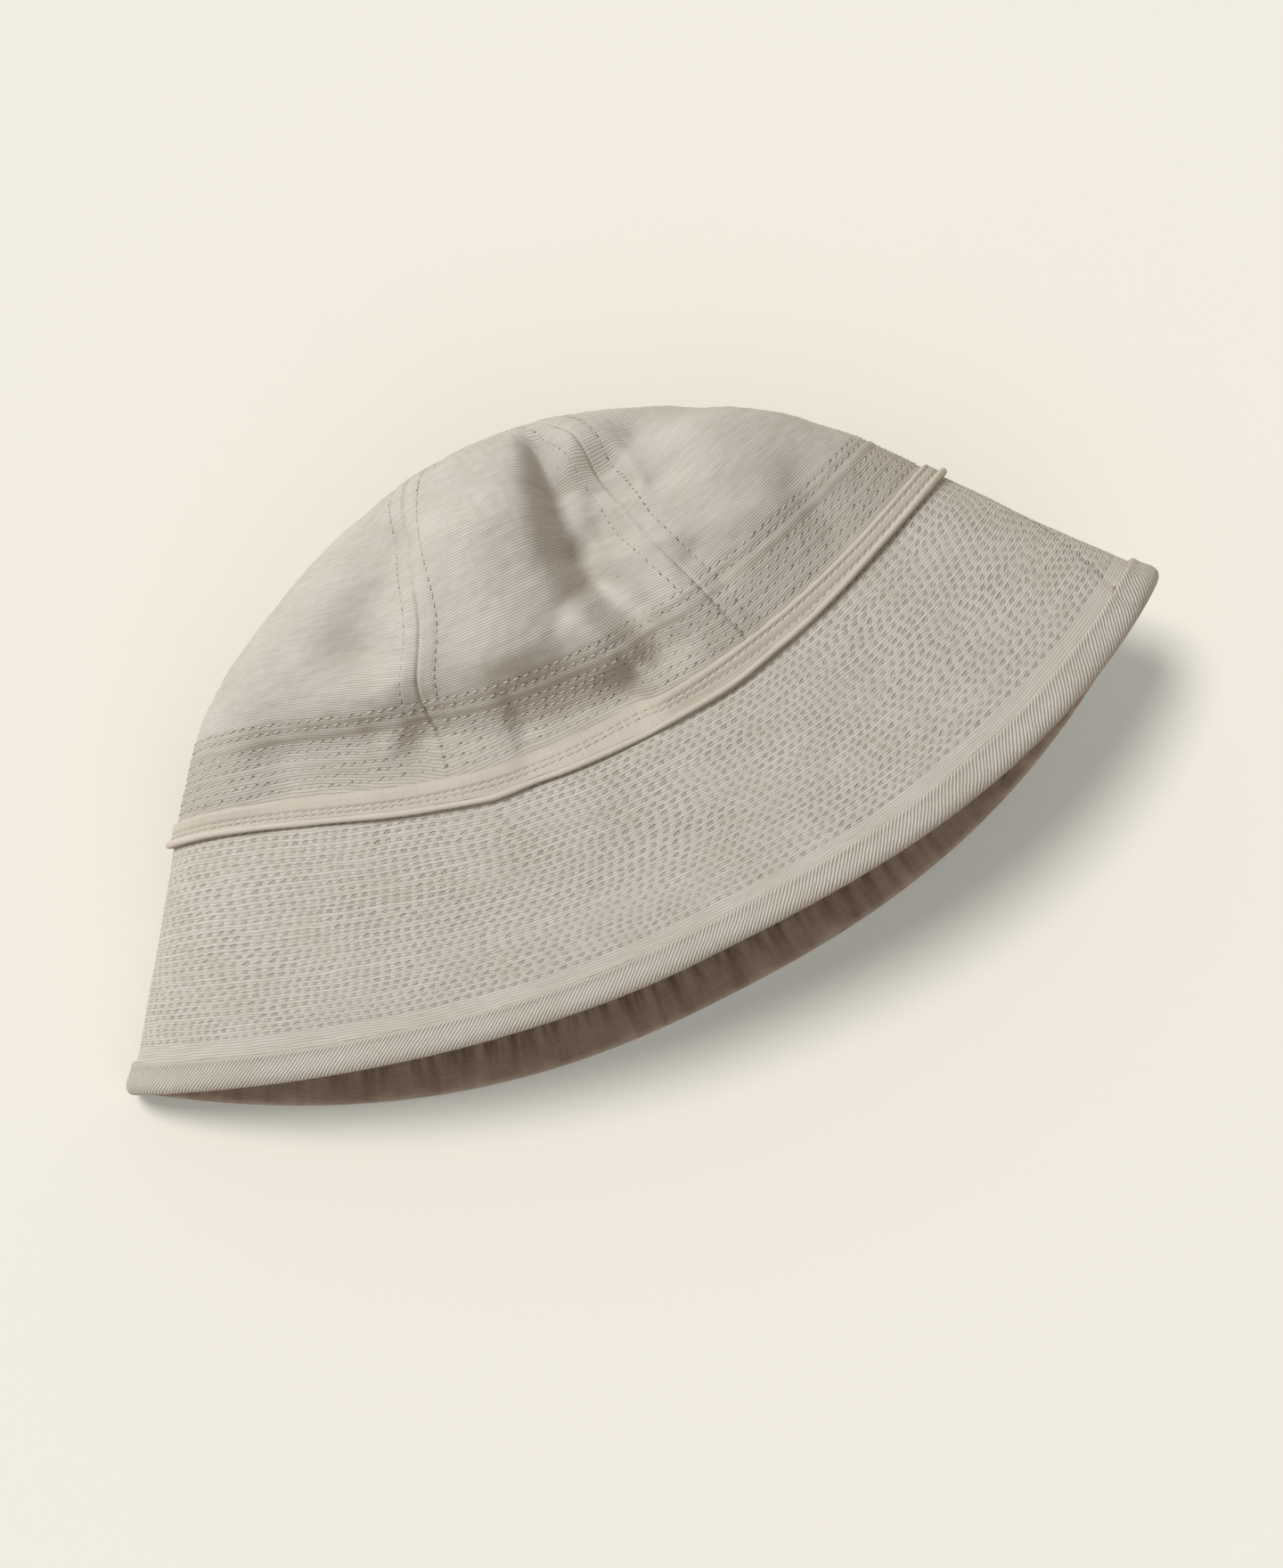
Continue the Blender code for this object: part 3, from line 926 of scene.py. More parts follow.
class Graph:
    """A shader tree, with short ways to add nodes to it."""

    def __init__(self, tree: bpy.types.NodeTree) -> None:
        self.tree = tree

    def node(self, kind: str, **settings: object) -> bpy.types.Node:
        """Adds a node and sets its properties."""
        made = self.tree.nodes.new(kind)
        for name, value in settings.items():
            setattr(made, name, value)
        return made

    def feed(self, socket: bpy.types.NodeSocket, value: object) -> None:
        """Links a socket to value, or sets it."""
        if isinstance(value, bpy.types.NodeSocket):
            self.tree.links.new(value, socket)
        else:
            socket.default_value = value

    def math(self, operation: str, *values: object) -> bpy.types.NodeSocket:
        """Adds a Math node and returns its result."""
        made = self.node("ShaderNodeMath", operation=operation)
        for socket, value in zip(made.inputs, values):
            self.feed(socket, value)
        return made.outputs[0]

    def split(self, vector: object) -> bpy.types.bpy_prop_collection:
        """Splits a vector into its three numbers."""
        made = self.node("ShaderNodeSeparateXYZ")
        self.feed(made.inputs[0], vector)
        return made.outputs

    def joined(self, first: object, second: object) -> bpy.types.NodeSocket:
        """Joins two numbers into a vector."""
        made = self.node("ShaderNodeCombineXYZ")
        self.feed(made.inputs[0], first)
        self.feed(made.inputs[1], second)
        return made.outputs[0]

    def ridge(self, value: object) -> bpy.types.NodeSocket:
        """Round ridges, 0 at whole numbers and 1 between them."""
        return self.math("ABSOLUTE", self.math("SINE", self.math("MULTIPLY", value, math.pi)))

    def drift(self, vector: object, scale: float, size: float) -> bpy.types.NodeSocket:
        """A noise round 0."""
        return self.math("MULTIPLY", self.math("SUBTRACT", self.noise(vector, scale), 0.5), size)

    def multiplied(self, color: object, other: object) -> bpy.types.NodeSocket:
        """Multiplies a colour by another."""
        return self.mix(1.0, color, other, "MULTIPLY")

    def scaled(self, vector: object, scale: Sequence[float]) -> bpy.types.NodeSocket:
        """Multiplies a vector by another."""
        made = self.node("ShaderNodeVectorMath", operation="MULTIPLY")
        self.feed(made.inputs[0], vector)
        made.inputs[1].default_value = scale
        return made.outputs[0]

    def noise(self, vector: object, scale: float, detail: float = 2.0) -> bpy.types.NodeSocket:
        """Adds a noise and returns its factor."""
        made = self.node("ShaderNodeTexNoise")
        self.feed(made.inputs["Vector"], vector)
        made.inputs["Scale"].default_value = scale
        made.inputs["Detail"].default_value = detail
        return made.outputs["Fac"]

    def spread(
        self, value: object, low: float, high: float, to_low: float = 0.0, to_high: float = 1.0
    ) -> bpy.types.NodeSocket:
        """Maps value from one range to another, softly and clamped."""
        made = self.node("ShaderNodeMapRange", interpolation_type="SMOOTHSTEP")
        self.feed(made.inputs["Value"], value)
        for name, number in zip(("From Min", "From Max", "To Min", "To Max"), (low, high, to_low, to_high)):
            made.inputs[name].default_value = number
        return made.outputs["Result"]

    def mix(self, factor: object, first: object, second: object, blend: str = "MIX") -> bpy.types.NodeSocket:
        """Mixes two colours."""
        made = self.node("ShaderNodeMix", data_type="RGBA", blend_type=blend)
        self.feed(made.inputs[0], factor)
        self.feed(made.inputs[6], first)
        self.feed(made.inputs[7], second)
        return made.outputs[2]

    def group(self, tree: bpy.types.NodeTree, vector: object) -> bpy.types.Node:
        """Adds a node group fed with cloth coordinates."""
        made = self.node("ShaderNodeGroup", node_tree=tree)
        self.feed(made.inputs["Cloth"], vector)
        return made


def pattern(
    name: str, outputs: Sequence[str]
) -> tuple[bpy.types.NodeTree, Graph, bpy.types.NodeSocket, bpy.types.Node]:
    """Starts a node group that turns cloth coordinates in mm into values.

    Args:
        name: The group's name.
        outputs: The names of its values.

    Returns:
        The group, its graph, the socket with the cloth coordinates, and the output node.
    """
    tree = bpy.data.node_groups.new(name, "ShaderNodeTree")
    tree.interface.new_socket("Cloth", in_out="INPUT", socket_type="NodeSocketVector")
    for output in outputs:
        tree.interface.new_socket(output, in_out="OUTPUT", socket_type="NodeSocketFloat")
    graph = Graph(tree)
    start = graph.node("NodeGroupInput")
    end = graph.node("NodeGroupOutput")
    return tree, graph, start.outputs["Cloth"], end


@dataclass(frozen=True)
class RibWeave:
    """A plain weave whose weft makes ribs round the cap."""

    name: str
    rib: float
    warp: float
    wander: float = 0.5

    def build(self) -> bpy.types.NodeTree:
        """Makes the group.

        Returns:
            A group with Height, from 0 between threads to 1 on them, and Slub, how thick a thread is.
        """
        tree, graph, cloth, end = pattern(self.name, ("Height", "Slub"))
        run, rise = graph.split(cloth)[:2]
        across = graph.math("ADD", rise, graph.drift(cloth, 0.045, self.wander * 6))
        across = graph.math("DIVIDE", across, self.rib)
        number = graph.math("FLOOR", across)
        picks = graph.math("ADD", run, graph.drift(cloth, 0.11, self.warp * 1.5))
        picks = graph.math("DIVIDE", picks, self.warp)
        picks = graph.math("ADD", picks, graph.math("MULTIPLY", number, 0.5))
        thread = graph.joined(graph.math("MULTIPLY", run, 0.11), graph.math("MULTIPLY", number, 0.73))
        slub = graph.spread(graph.noise(thread, 1.0, 3.0), 0.3, 0.7)
        lumps = graph.math("MULTIPLY_ADD", graph.ridge(picks), 0.45, 0.55)
        height = graph.math("MULTIPLY", graph.math("POWER", graph.ridge(across), 0.7), lumps)
        height = graph.math("MULTIPLY", height, graph.math("MULTIPLY_ADD", slub, 0.35, 0.75))
        graph.feed(end.inputs["Height"], height)
        graph.feed(end.inputs["Slub"], slub)
        return tree


@dataclass(frozen=True)
class Twill:
    """A twill weave: slanted ridges cut by fine threads."""

    name: str
    ridge: float
    slant: float

    def build(self) -> bpy.types.NodeTree:
        """Makes the group.

        Returns:
            A group with the ribbed weave's outputs, Height and Slub.
        """
        tree, graph, cloth, end = pattern(self.name, ("Height", "Slub"))
        run, rise = graph.split(cloth)[:2]
        drift = graph.drift(cloth, 0.12, self.ridge * 1.2)
        slanted = graph.math("MULTIPLY_ADD", run, math.cos(self.slant), drift)
        slanted = graph.math("ADD", slanted, graph.math("MULTIPLY", rise, math.sin(self.slant)))
        ridge = graph.math("POWER", graph.ridge(graph.math("DIVIDE", slanted, self.ridge)), 0.8)
        weft = graph.math("SINE", graph.math("MULTIPLY", rise, 2 * math.pi / 0.5))
        height = graph.math("MULTIPLY", ridge, graph.math("MULTIPLY_ADD", weft, 0.1, 0.9))
        graph.feed(end.inputs["Height"], height)
        graph.feed(end.inputs["Slub"], graph.spread(graph.noise(cloth, 0.6, 3.0), 0.35, 0.65))
        return tree


def build_flecks() -> bpy.types.NodeTree:
    """Makes the group of small dark husks in raw canvas and of soft unevenness in its colour.

    Returns:
        A group with Fleck, 1 on a husk, and Mottle, from 0 to 1.
    """
    tree, graph, cloth, end = pattern("husks", ("Fleck", "Mottle"))
    cells = graph.node("ShaderNodeTexVoronoi")
    graph.feed(cells.inputs["Vector"], graph.scaled(cloth, (1.0, 1.25, 1.0)))
    cells.inputs["Scale"].default_value = 0.16
    split = graph.node("ShaderNodeSeparateColor")
    graph.feed(split.inputs[0], cells.outputs["Color"])
    chosen = graph.math("GREATER_THAN", split.outputs[0], 0.62)
    size = graph.math("MULTIPLY_ADD", split.outputs[1], 0.035, 0.02)
    spot = graph.math("LESS_THAN", cells.outputs["Distance"], size)
    fleck = graph.math("MULTIPLY", graph.math("MULTIPLY", chosen, spot), split.outputs[2])
    graph.feed(end.inputs["Fleck"], fleck)
    graph.feed(end.inputs["Mottle"], graph.spread(graph.noise(cloth, 0.05, 5.0), 0.3, 0.7))
    return tree


@dataclass(frozen=True)
class Furrows:
    """The slanted furrow that each stitch of the quilting pulls into the cloth."""

    name: str
    stitch: float = BRIM_STITCH
    row: float = BRIM_ROW_PITCH
    half_length: float = 1.1
    half_width: float = 0.29
    slant: float = math.radians(15)

    def build(self) -> bpy.types.NodeTree:
        """Makes the group, which reads the stitch coordinates.

        Returns:
            A group with Depth, 1 in the middle of a furrow.
        """
        tree, graph, sewn, end = pattern(self.name, ("Depth",))
        stitch, row = graph.split(sewn)[:2]
        line = graph.math("ROUND", row)
        chance = graph.node("ShaderNodeTexWhiteNoise", noise_dimensions="2D")
        graph.feed(chance.inputs["Vector"], graph.joined(graph.math("FLOOR", stitch), line))
        draw = graph.node("ShaderNodeSeparateColor")
        graph.feed(draw.inputs[0], chance.outputs["Color"])
        along_ = graph.math("SUBTRACT", graph.math("FRACT", stitch), 0.5)
        along_ = graph.math("MULTIPLY", along_, self.stitch)
        up = graph.math("MULTIPLY", graph.math("SUBTRACT", line, row), self.row)
        up = graph.math("ADD", up, graph.math("MULTIPLY_ADD", draw.outputs[1], 0.24, -0.12))
        angle = graph.math("MULTIPLY_ADD", draw.outputs[0], 0.2, self.slant - 0.1)
        sine, cosine = graph.math("SINE", angle), graph.math("COSINE", angle)
        run = graph.math("SUBTRACT", graph.math("MULTIPLY", along_, cosine), graph.math("MULTIPLY", up, sine))
        over = graph.math("ADD", graph.math("MULTIPLY", along_, sine), graph.math("MULTIPLY", up, cosine))
        run = graph.math("POWER", graph.math("ABSOLUTE", graph.math("DIVIDE", run, self.half_length)), 2.6)
        over = graph.math("POWER", graph.math("ABSOLUTE", graph.math("DIVIDE", over, self.half_width)), 2.0)
        depth = graph.spread(graph.math("ADD", run, over), 0.1, 1.5, 1.0, 0.0)
        strength = graph.math("MULTIPLY_ADD", draw.outputs[2], 0.6, 0.45)
        patch = graph.spread(graph.noise(graph.scaled(sewn, (0.2, 0.1, 0.0)), 1.0), 0.35, 0.65, 0.55, 1.15)
        strength = graph.math("MULTIPLY", strength, patch)
        graph.feed(end.inputs["Depth"], graph.math("MULTIPLY", depth, strength))
        return tree


@dataclass(frozen=True)
class Finish:
    """A new material, its graph, its shader and the cloth coordinates in mm."""

    material: bpy.types.Material
    graph: Graph
    shader: bpy.types.Node
    cloth: bpy.types.NodeSocket

    @classmethod
    def start(cls, name: str) -> Finish:
        """Makes the material.

        Args:
            name: Its name.

        Returns:
            The material, ready for its colours.
        """
        material = bpy.data.materials.new(name)
        material.use_nodes = True
        graph = Graph(material.node_tree)
        chart = graph.node("ShaderNodeUVMap", uv_map=MAP)
        cloth = graph.scaled(chart.outputs[0], (1 / MM, 1 / MM, 0.0))
        return cls(material, graph, material.node_tree.nodes["Principled BSDF"], cloth)

    def bump(self, height: bpy.types.NodeSocket, distance: float) -> None:
        """Lets heights tilt the surface."""
        bump = self.graph.node("ShaderNodeBump")
        bump.inputs["Distance"].default_value = distance
        self.graph.feed(bump.inputs["Height"], height)
        self.graph.feed(self.shader.inputs["Normal"], bump.outputs[0])


@dataclass(frozen=True)
class Cloth:
    """A cotton finish: its colours, how its weave stands out and how rough it is."""

    name: str
    color: Color
    weave: bpy.types.NodeTree
    husks: bpy.types.NodeTree
    relief: float = 0.10
    # Painted shade: how much darker and warmer the weave's colour is between its threads
    gap_painted_shade: float = 0.18
    fleck: float = 0.75
    mottle: float = 0.06
    roughness: float = 0.92
    furrows: bpy.types.NodeTree | None = None
    furrow_depth: float = 0.42
    # Painted shade: how much the quilting furrows' colour is darkened
    furrow_painted_shade: float = 0.16
    # Painted shade: how strongly the folded-in strip is darkened brown in its pucker valleys
    painted_shade_streaks: float = 0.0
    # Painted shade: how much the stitched band low on the crown is darkened
    painted_band_shade: float = 0.0

    def build(self) -> bpy.types.Material:
        """Makes the material."""
        finish = Finish.start(self.name)
        graph, shader, cloth = finish.graph, finish.shader, finish.cloth
        weave = graph.group(self.weave, cloth)
        husks = graph.group(self.husks, cloth)
        # The weave's colour is darker and warmer between threads, painted shade, and a little paler on them,
        # painted light
        pale = tinted(self.color, (1.05, 1.05, 1.05))
        deep = tinted(self.color, less(self.gap_painted_shade, (1.0, 1.15, 1.35))[:3])
        color = graph.mix(graph.spread(weave.outputs["Height"], 0.05, 0.75), deep, pale)
        dull = less(self.mottle, (1.0, 1.2, 1.6))
        color = graph.multiplied(color, graph.mix(husks.outputs["Mottle"], dull, WHITE))
        slub = graph.mix(weave.outputs["Slub"], (0.955, 0.95, 0.94, 1.0), (1.02, 1.02, 1.02, 1.0))
        color = graph.multiplied(color, slub)
        fleck = graph.math("MULTIPLY", husks.outputs["Fleck"], self.fleck)
        color = graph.mix(fleck, color, (0.16, 0.12, 0.08, 1.0))
        height = graph.math("MULTIPLY", weave.outputs["Height"], self.relief)
        # Painted shade: the stitched band low on the crown is darkened and warmed in colour
        if self.painted_band_shade:
            dark = tinted(1 - self.painted_band_shade, (1.0, 0.985, 0.96))
            on_band = graph.spread(graph.split(cloth)[1], 106.0, 102.5)
            color = graph.mix(on_band, color, graph.multiplied(color, dark))
        # Painted shade: brown stripes in the pucker valleys, stronger further from the cap's edge
        if self.painted_shade_streaks:
            color = graph.multiplied(color, self.painted_shade_streaked(graph, cloth))
        if self.furrows is not None:
            sewn = graph.node("ShaderNodeUVMap", uv_map=STITCH_MAP)
            depth = graph.group(self.furrows, sewn.outputs[0]).outputs["Depth"]
            height = graph.math("MULTIPLY_ADD", depth, -self.furrow_depth, height)
            # Painted shade: the furrows are darkened and warmed in colour as well as sunk by the bump
            dark = tinted(1 - self.furrow_painted_shade, (1.0, 0.985, 0.95))
            color = graph.multiplied(color, graph.mix(depth, WHITE, dark))
        graph.feed(shader.inputs["Base Color"], color)
        rough = graph.math("MULTIPLY_ADD", weave.outputs["Height"], -0.06, self.roughness)
        graph.feed(shader.inputs["Roughness"], rough)
        shader.inputs["Specular IOR Level"].default_value = 0.18
        shader.inputs["Sheen Weight"].default_value = 0.12
        shader.inputs["Sheen Roughness"].default_value = 0.6
        finish.bump(height, MM)
        return finish.material

    def painted_shade_streaked(self, graph: Graph, cloth: bpy.types.NodeSocket) -> bpy.types.NodeSocket:
        """Painted shade on the folded-in strip: brown stripes where its puckers dip, stronger further from
        the cap's edge.

        Args:
            graph: The material's graph.
            cloth: The cloth coordinates in mm.

        Returns:
            A colour to multiply with.
        """
        streak = graph.spread(graph.noise(graph.scaled(cloth, (0.24, 0.035, 1.0)), 1.0, 2.5), 0.36, 0.66)
        # Painted shade that grows further in from the cap's edge
        depth = graph.spread(graph.math("MULTIPLY", graph.split(cloth)[1], -1.0), 17.0, 30.0, 0.35, 1.0)
        return graph.mix(graph.math("MULTIPLY", streak, depth), WHITE, less(self.painted_shade_streaks, (1.0, 1.12, 1.25)))


@dataclass(frozen=True)
class Plain:
    """A finish with a soft grain and no weave: thread, and the painted shade of a needle hole."""

    name: str
    color: Color
    roughness: float = 0.85
    relief: float = 0.05
    grain: float = 1.6

    def build(self) -> bpy.types.Material:
        """Makes the material."""
        finish = Finish.start(self.name)
        graph, shader, cloth = finish.graph, finish.shader, finish.cloth
        grain = graph.noise(cloth, self.grain, 3.0)
        color = graph.mix(grain, tinted(self.color, (0.88, 0.87, 0.85)), (*self.color, 1.0))
        graph.feed(shader.inputs["Base Color"], color)
        shader.inputs["Roughness"].default_value = self.roughness
        shader.inputs["Specular IOR Level"].default_value = 0.2
        finish.bump(grain, self.relief * MM)
        return finish.material


class Finishes:
    """All the cap's materials."""

    def __init__(self) -> None:
        husks = build_flecks()
        duck = RibWeave("ribbed duck", 0.88, 0.62).build()
        close = RibWeave("close weave", 0.5, 0.45, 0.3).build()
        ribbon = RibWeave("ribbon weave", 0.33, 0.42, 0.2).build()
        furrows = Furrows("quilting furrows").build()
        twill = Twill("twill", 0.95, math.radians(43)).build()
        # The canvas carries painted shade on its stitched band
        self.canvas = Cloth("canvas", (0.655, 0.606, 0.526), duck, husks, 0.13, 0.27, painted_band_shade=0.12).build()
        # The crown's inside is a darker, browner copy of the canvas: painted shade
        self.canvas_inside_painted_shade = Cloth("canvas_inside_painted_shade", (0.58, 0.52, 0.43), duck, husks, 0.12, 0.25).build()
        # The quilted brim's furrows carry painted shade
        self.brim = Cloth(
            "quilted_canvas", (0.66, 0.607, 0.52), duck, husks, 0.12, 0.22, mottle=0.05, furrows=furrows
        ).build()
        # The brim's inside is a darker, browner cloth: painted shade
        self.brim_inside_painted_shade = Cloth("quilted_canvas_inside_painted_shade", (0.50, 0.42, 0.34), close, husks, 0.12, 0.3).build()
        # The facing's browner colour and its brown stripes are painted shade
        self.facing = Cloth("facing", (0.68, 0.555, 0.45), close, husks, 0.24, 0.42, painted_shade_streaks=0.58).build()
        self.tape = Cloth("tape", (0.672, 0.592, 0.487), ribbon, husks, 0.07, 0.14, 0.3).build()
        self.piping = Cloth("piping", (0.69, 0.615, 0.52), ribbon, husks, 0.05, 0.12, 0.3).build()
        self.twill = Cloth("twill_binding", (0.665, 0.61, 0.522), twill, husks, 0.3, 0.4, 0.4).build()
        self.thread = Plain("thread", (0.62, 0.572, 0.487)).build()
        # The needle holes' dark colour is painted shade
        self.hole = Plain("needle_hole_painted_shade", (0.22, 0.165, 0.115), 1.0).build()


# ---- pieces


@dataclass
class Brim:
    """The brim: doubled canvas held flat by close rows of stitches."""

    surface: CapSurface
    relief: BrimRelief
    finishes: Finishes
    upper_columns: int = 560
    under_columns: int = 240
    per_row: int = 3

    EDGE_HEIGHTS = (2.0, 5.5, 9.0, 10.6, 12.0, 13.4)
    TOP_HEIGHTS = (71.1, 71.9)

    def rows(self, share: Array) -> tuple[Array, Array]:
        """The mesh's rows, from the edge to the join, in step with the stitched rows.

        Args:
            share: Shares of the way round.

        Returns:
            Row numbers and heights.
        """
        stitched = np.arange((BRIM_ROW_COUNT - 1) * self.per_row, -1, -1) / self.per_row
        heights = self.relief.row_height(stitched[:, None], share[None, :])
        level = np.zeros_like(share)[None, :]
        edge = np.array(self.EDGE_HEIGHTS)[:, None] + level
        edge = np.concatenate([edge, heights[:1] - 0.93])
        top = np.array(self.TOP_HEIGHTS)[:, None] + level
        below, above = np.full(len(edge), BRIM_ROW_COUNT - 0.5), np.full(len(top), -0.5)
        numbers = np.concatenate([below, stitched, above])
        return numbers[:, None] + level, np.concatenate([edge, heights, top])

    def build(self) -> None:
        """Makes the brim, and hides the brim's solid."""
        draft = MeshDraft()
        upper, under = closed_shares(self.upper_columns)[0], closed_shares(self.under_columns)[0]
        share = np.concatenate([upper * 0.5, under * 0.5 + 0.5])
        numbers, heights = self.rows(share)
        if len(heights) % 2 == 0:
            numbers, heights = numbers[1:], heights[1:]
        lift = self.relief.lift(numbers, heights, share[None, :])
        laid = self.surface.at(heights, share[None, :], Side.BRIM)
        unrolled = np.concatenate([share, [1.0]])
        chart_heights = np.concatenate([heights, heights[:, :1]], axis=1)
        closed_numbers = np.concatenate([numbers, numbers[:, :1]], axis=1)
        sewn = self.relief.stitch(closed_numbers, unrolled[None, :])
        around = unrolled[None, :] * self.surface.girth(chart_heights)
        chart = np.stack([around, chart_heights, sewn, closed_numbers], axis=-1)
        outer = draft.grid(laid.lifted(lift), chart, 0, wrap_over=True)
        inner_heights = heights[::2, ::2]
        inner_share = share[::2]
        ripples = Undulation(31, 0.16, 9.0, 3.6, 22).at(0.18 * inner_heights, inner_share[None, :])
        inner_lift = -BRIM_THICK + ripples + self.relief.base(inner_heights, inner_share[None, :])
        inner_laid = self.surface.at(inner_heights, inner_share[None, :], Side.BRIM)
        inner = draft.grid(inner_laid.lifted(inner_lift), chart[::2, ::2], 1, wrap_over=True, flip=True)
        for row, flip in ((0, True), (-1, False)):
            draft.wall(outer, inner, row, flip)
        piece = draft.make("brim_cloth", [self.finishes.brim, self.finishes.brim_inside_painted_shade])
        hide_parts("brim")


@dataclass
class CrownPanel:
    """One of the six panels of the crown, from its lower edge to the point where they meet."""

    number: int
    surface: CapSurface
    relief: CrownRelief
    finishes: Finishes

    EDGES = (0.0, 0.3, 0.7, 1.3, 2.2, 3.3, 4.4, 5.1, 5.5, 5.9, 6.6, 7.5)
    DOME_STEPS = 120

    def heights(self) -> Array:
        """The mesh's rows, in step with the stitched rows.

        Returns:
            Heights along the cloth.
        """
        rows = [72.2, 75.5, 79.0]
        bounds = [79.0, *reversed(CROWN_ROWS), STITCHED_TOP]
        for low, high in zip(bounds, bounds[1:]):
            steps = max(2, round((high - low) / 0.85))
            rows.extend(np.linspace(low, high, steps + 1)[1:])
        way = np.linspace(0, 1, self.DOME_STEPS + 1)[1:]
        rows.extend(STITCHED_TOP + (CROWN_END - 0.1 - STITCHED_TOP) * way)
        if len(rows) % 2 == 0:
            rows.insert(1, 73.8)
        return np.array(rows)

    def shares(self, heights: Array) -> Array:
        """The mesh's columns at each row, closer together along the seams.

        Args:
            heights: Heights along the cloth.

        Returns:
            Shares of the way round, one row for each height.
        """
        start = self.surface.seam(self.number, heights)
        end = self.surface.seam(self.number + 1, heights)
        girth = self.surface.girth(heights)
        width = (end - start) * girth
        edges = np.array(self.EDGES)[None, :] * np.clip(width / 34.0, 0, 1.0)[:, None]
        middle = np.linspace(0, 1, 75)[1:-1][None, :]
        inside = edges[:, -1:] + middle * (width[:, None] - 2 * edges[:, -1:])
        across = np.concatenate([edges, inside, width[:, None] - edges[:, ::-1]], axis=1)
        return start[:, None] + across / girth[:, None]

    def build(self) -> None:
        """Makes the panel, and hides the panel's solid."""
        draft = MeshDraft()
        heights = self.heights()
        shares = self.shares(heights)
        tall = np.broadcast_to(heights[:, None], shares.shape)
        lift = self.relief.lift(tall, shares)
        middle = (shares[:, :1] + shares[:, -1:]) / 2
        across = (shares - middle) * self.surface.girth(tall)
        chart = np.stack([across + 200.0 * self.number, tall + 0.0016 * across**2], axis=-1)
        laid = self.surface.at(tall, shares, Side.CROWN)
        outer = draft.grid(laid.lifted(lift), chart)
        low, few = tall[::2, ::2], shares[::2, ::2]
        inner_laid = self.surface.at(low, few, Side.CROWN)
        sewn = 0.5 * (1 - smooth_step(5.0, 6.0, self.relief.seam_distance(low, few)))
        top = np.clip((CROWN_END - low) / 20.0, 0.0, 1.0)
        inner_lift = -CROWN_THICK - sewn * top + self.relief.wide.at(low, few) * top
        inner = draft.grid(inner_laid.lifted(inner_lift), chart[::2, ::2], 1, flip=True)
        sides = (
            (np.s_[0, :], True),
            (np.s_[-1, :], False),
            (np.s_[:, 0], False),
            (np.s_[:, -1], True),
        )
        for pick, flip in sides:
            draft.wall(outer, inner, pick, flip)
        node = PANELS[self.number]
        piece = draft.make(f"{node}_cloth", [self.finishes.canvas, self.finishes.canvas_inside_painted_shade])
        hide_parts(node)


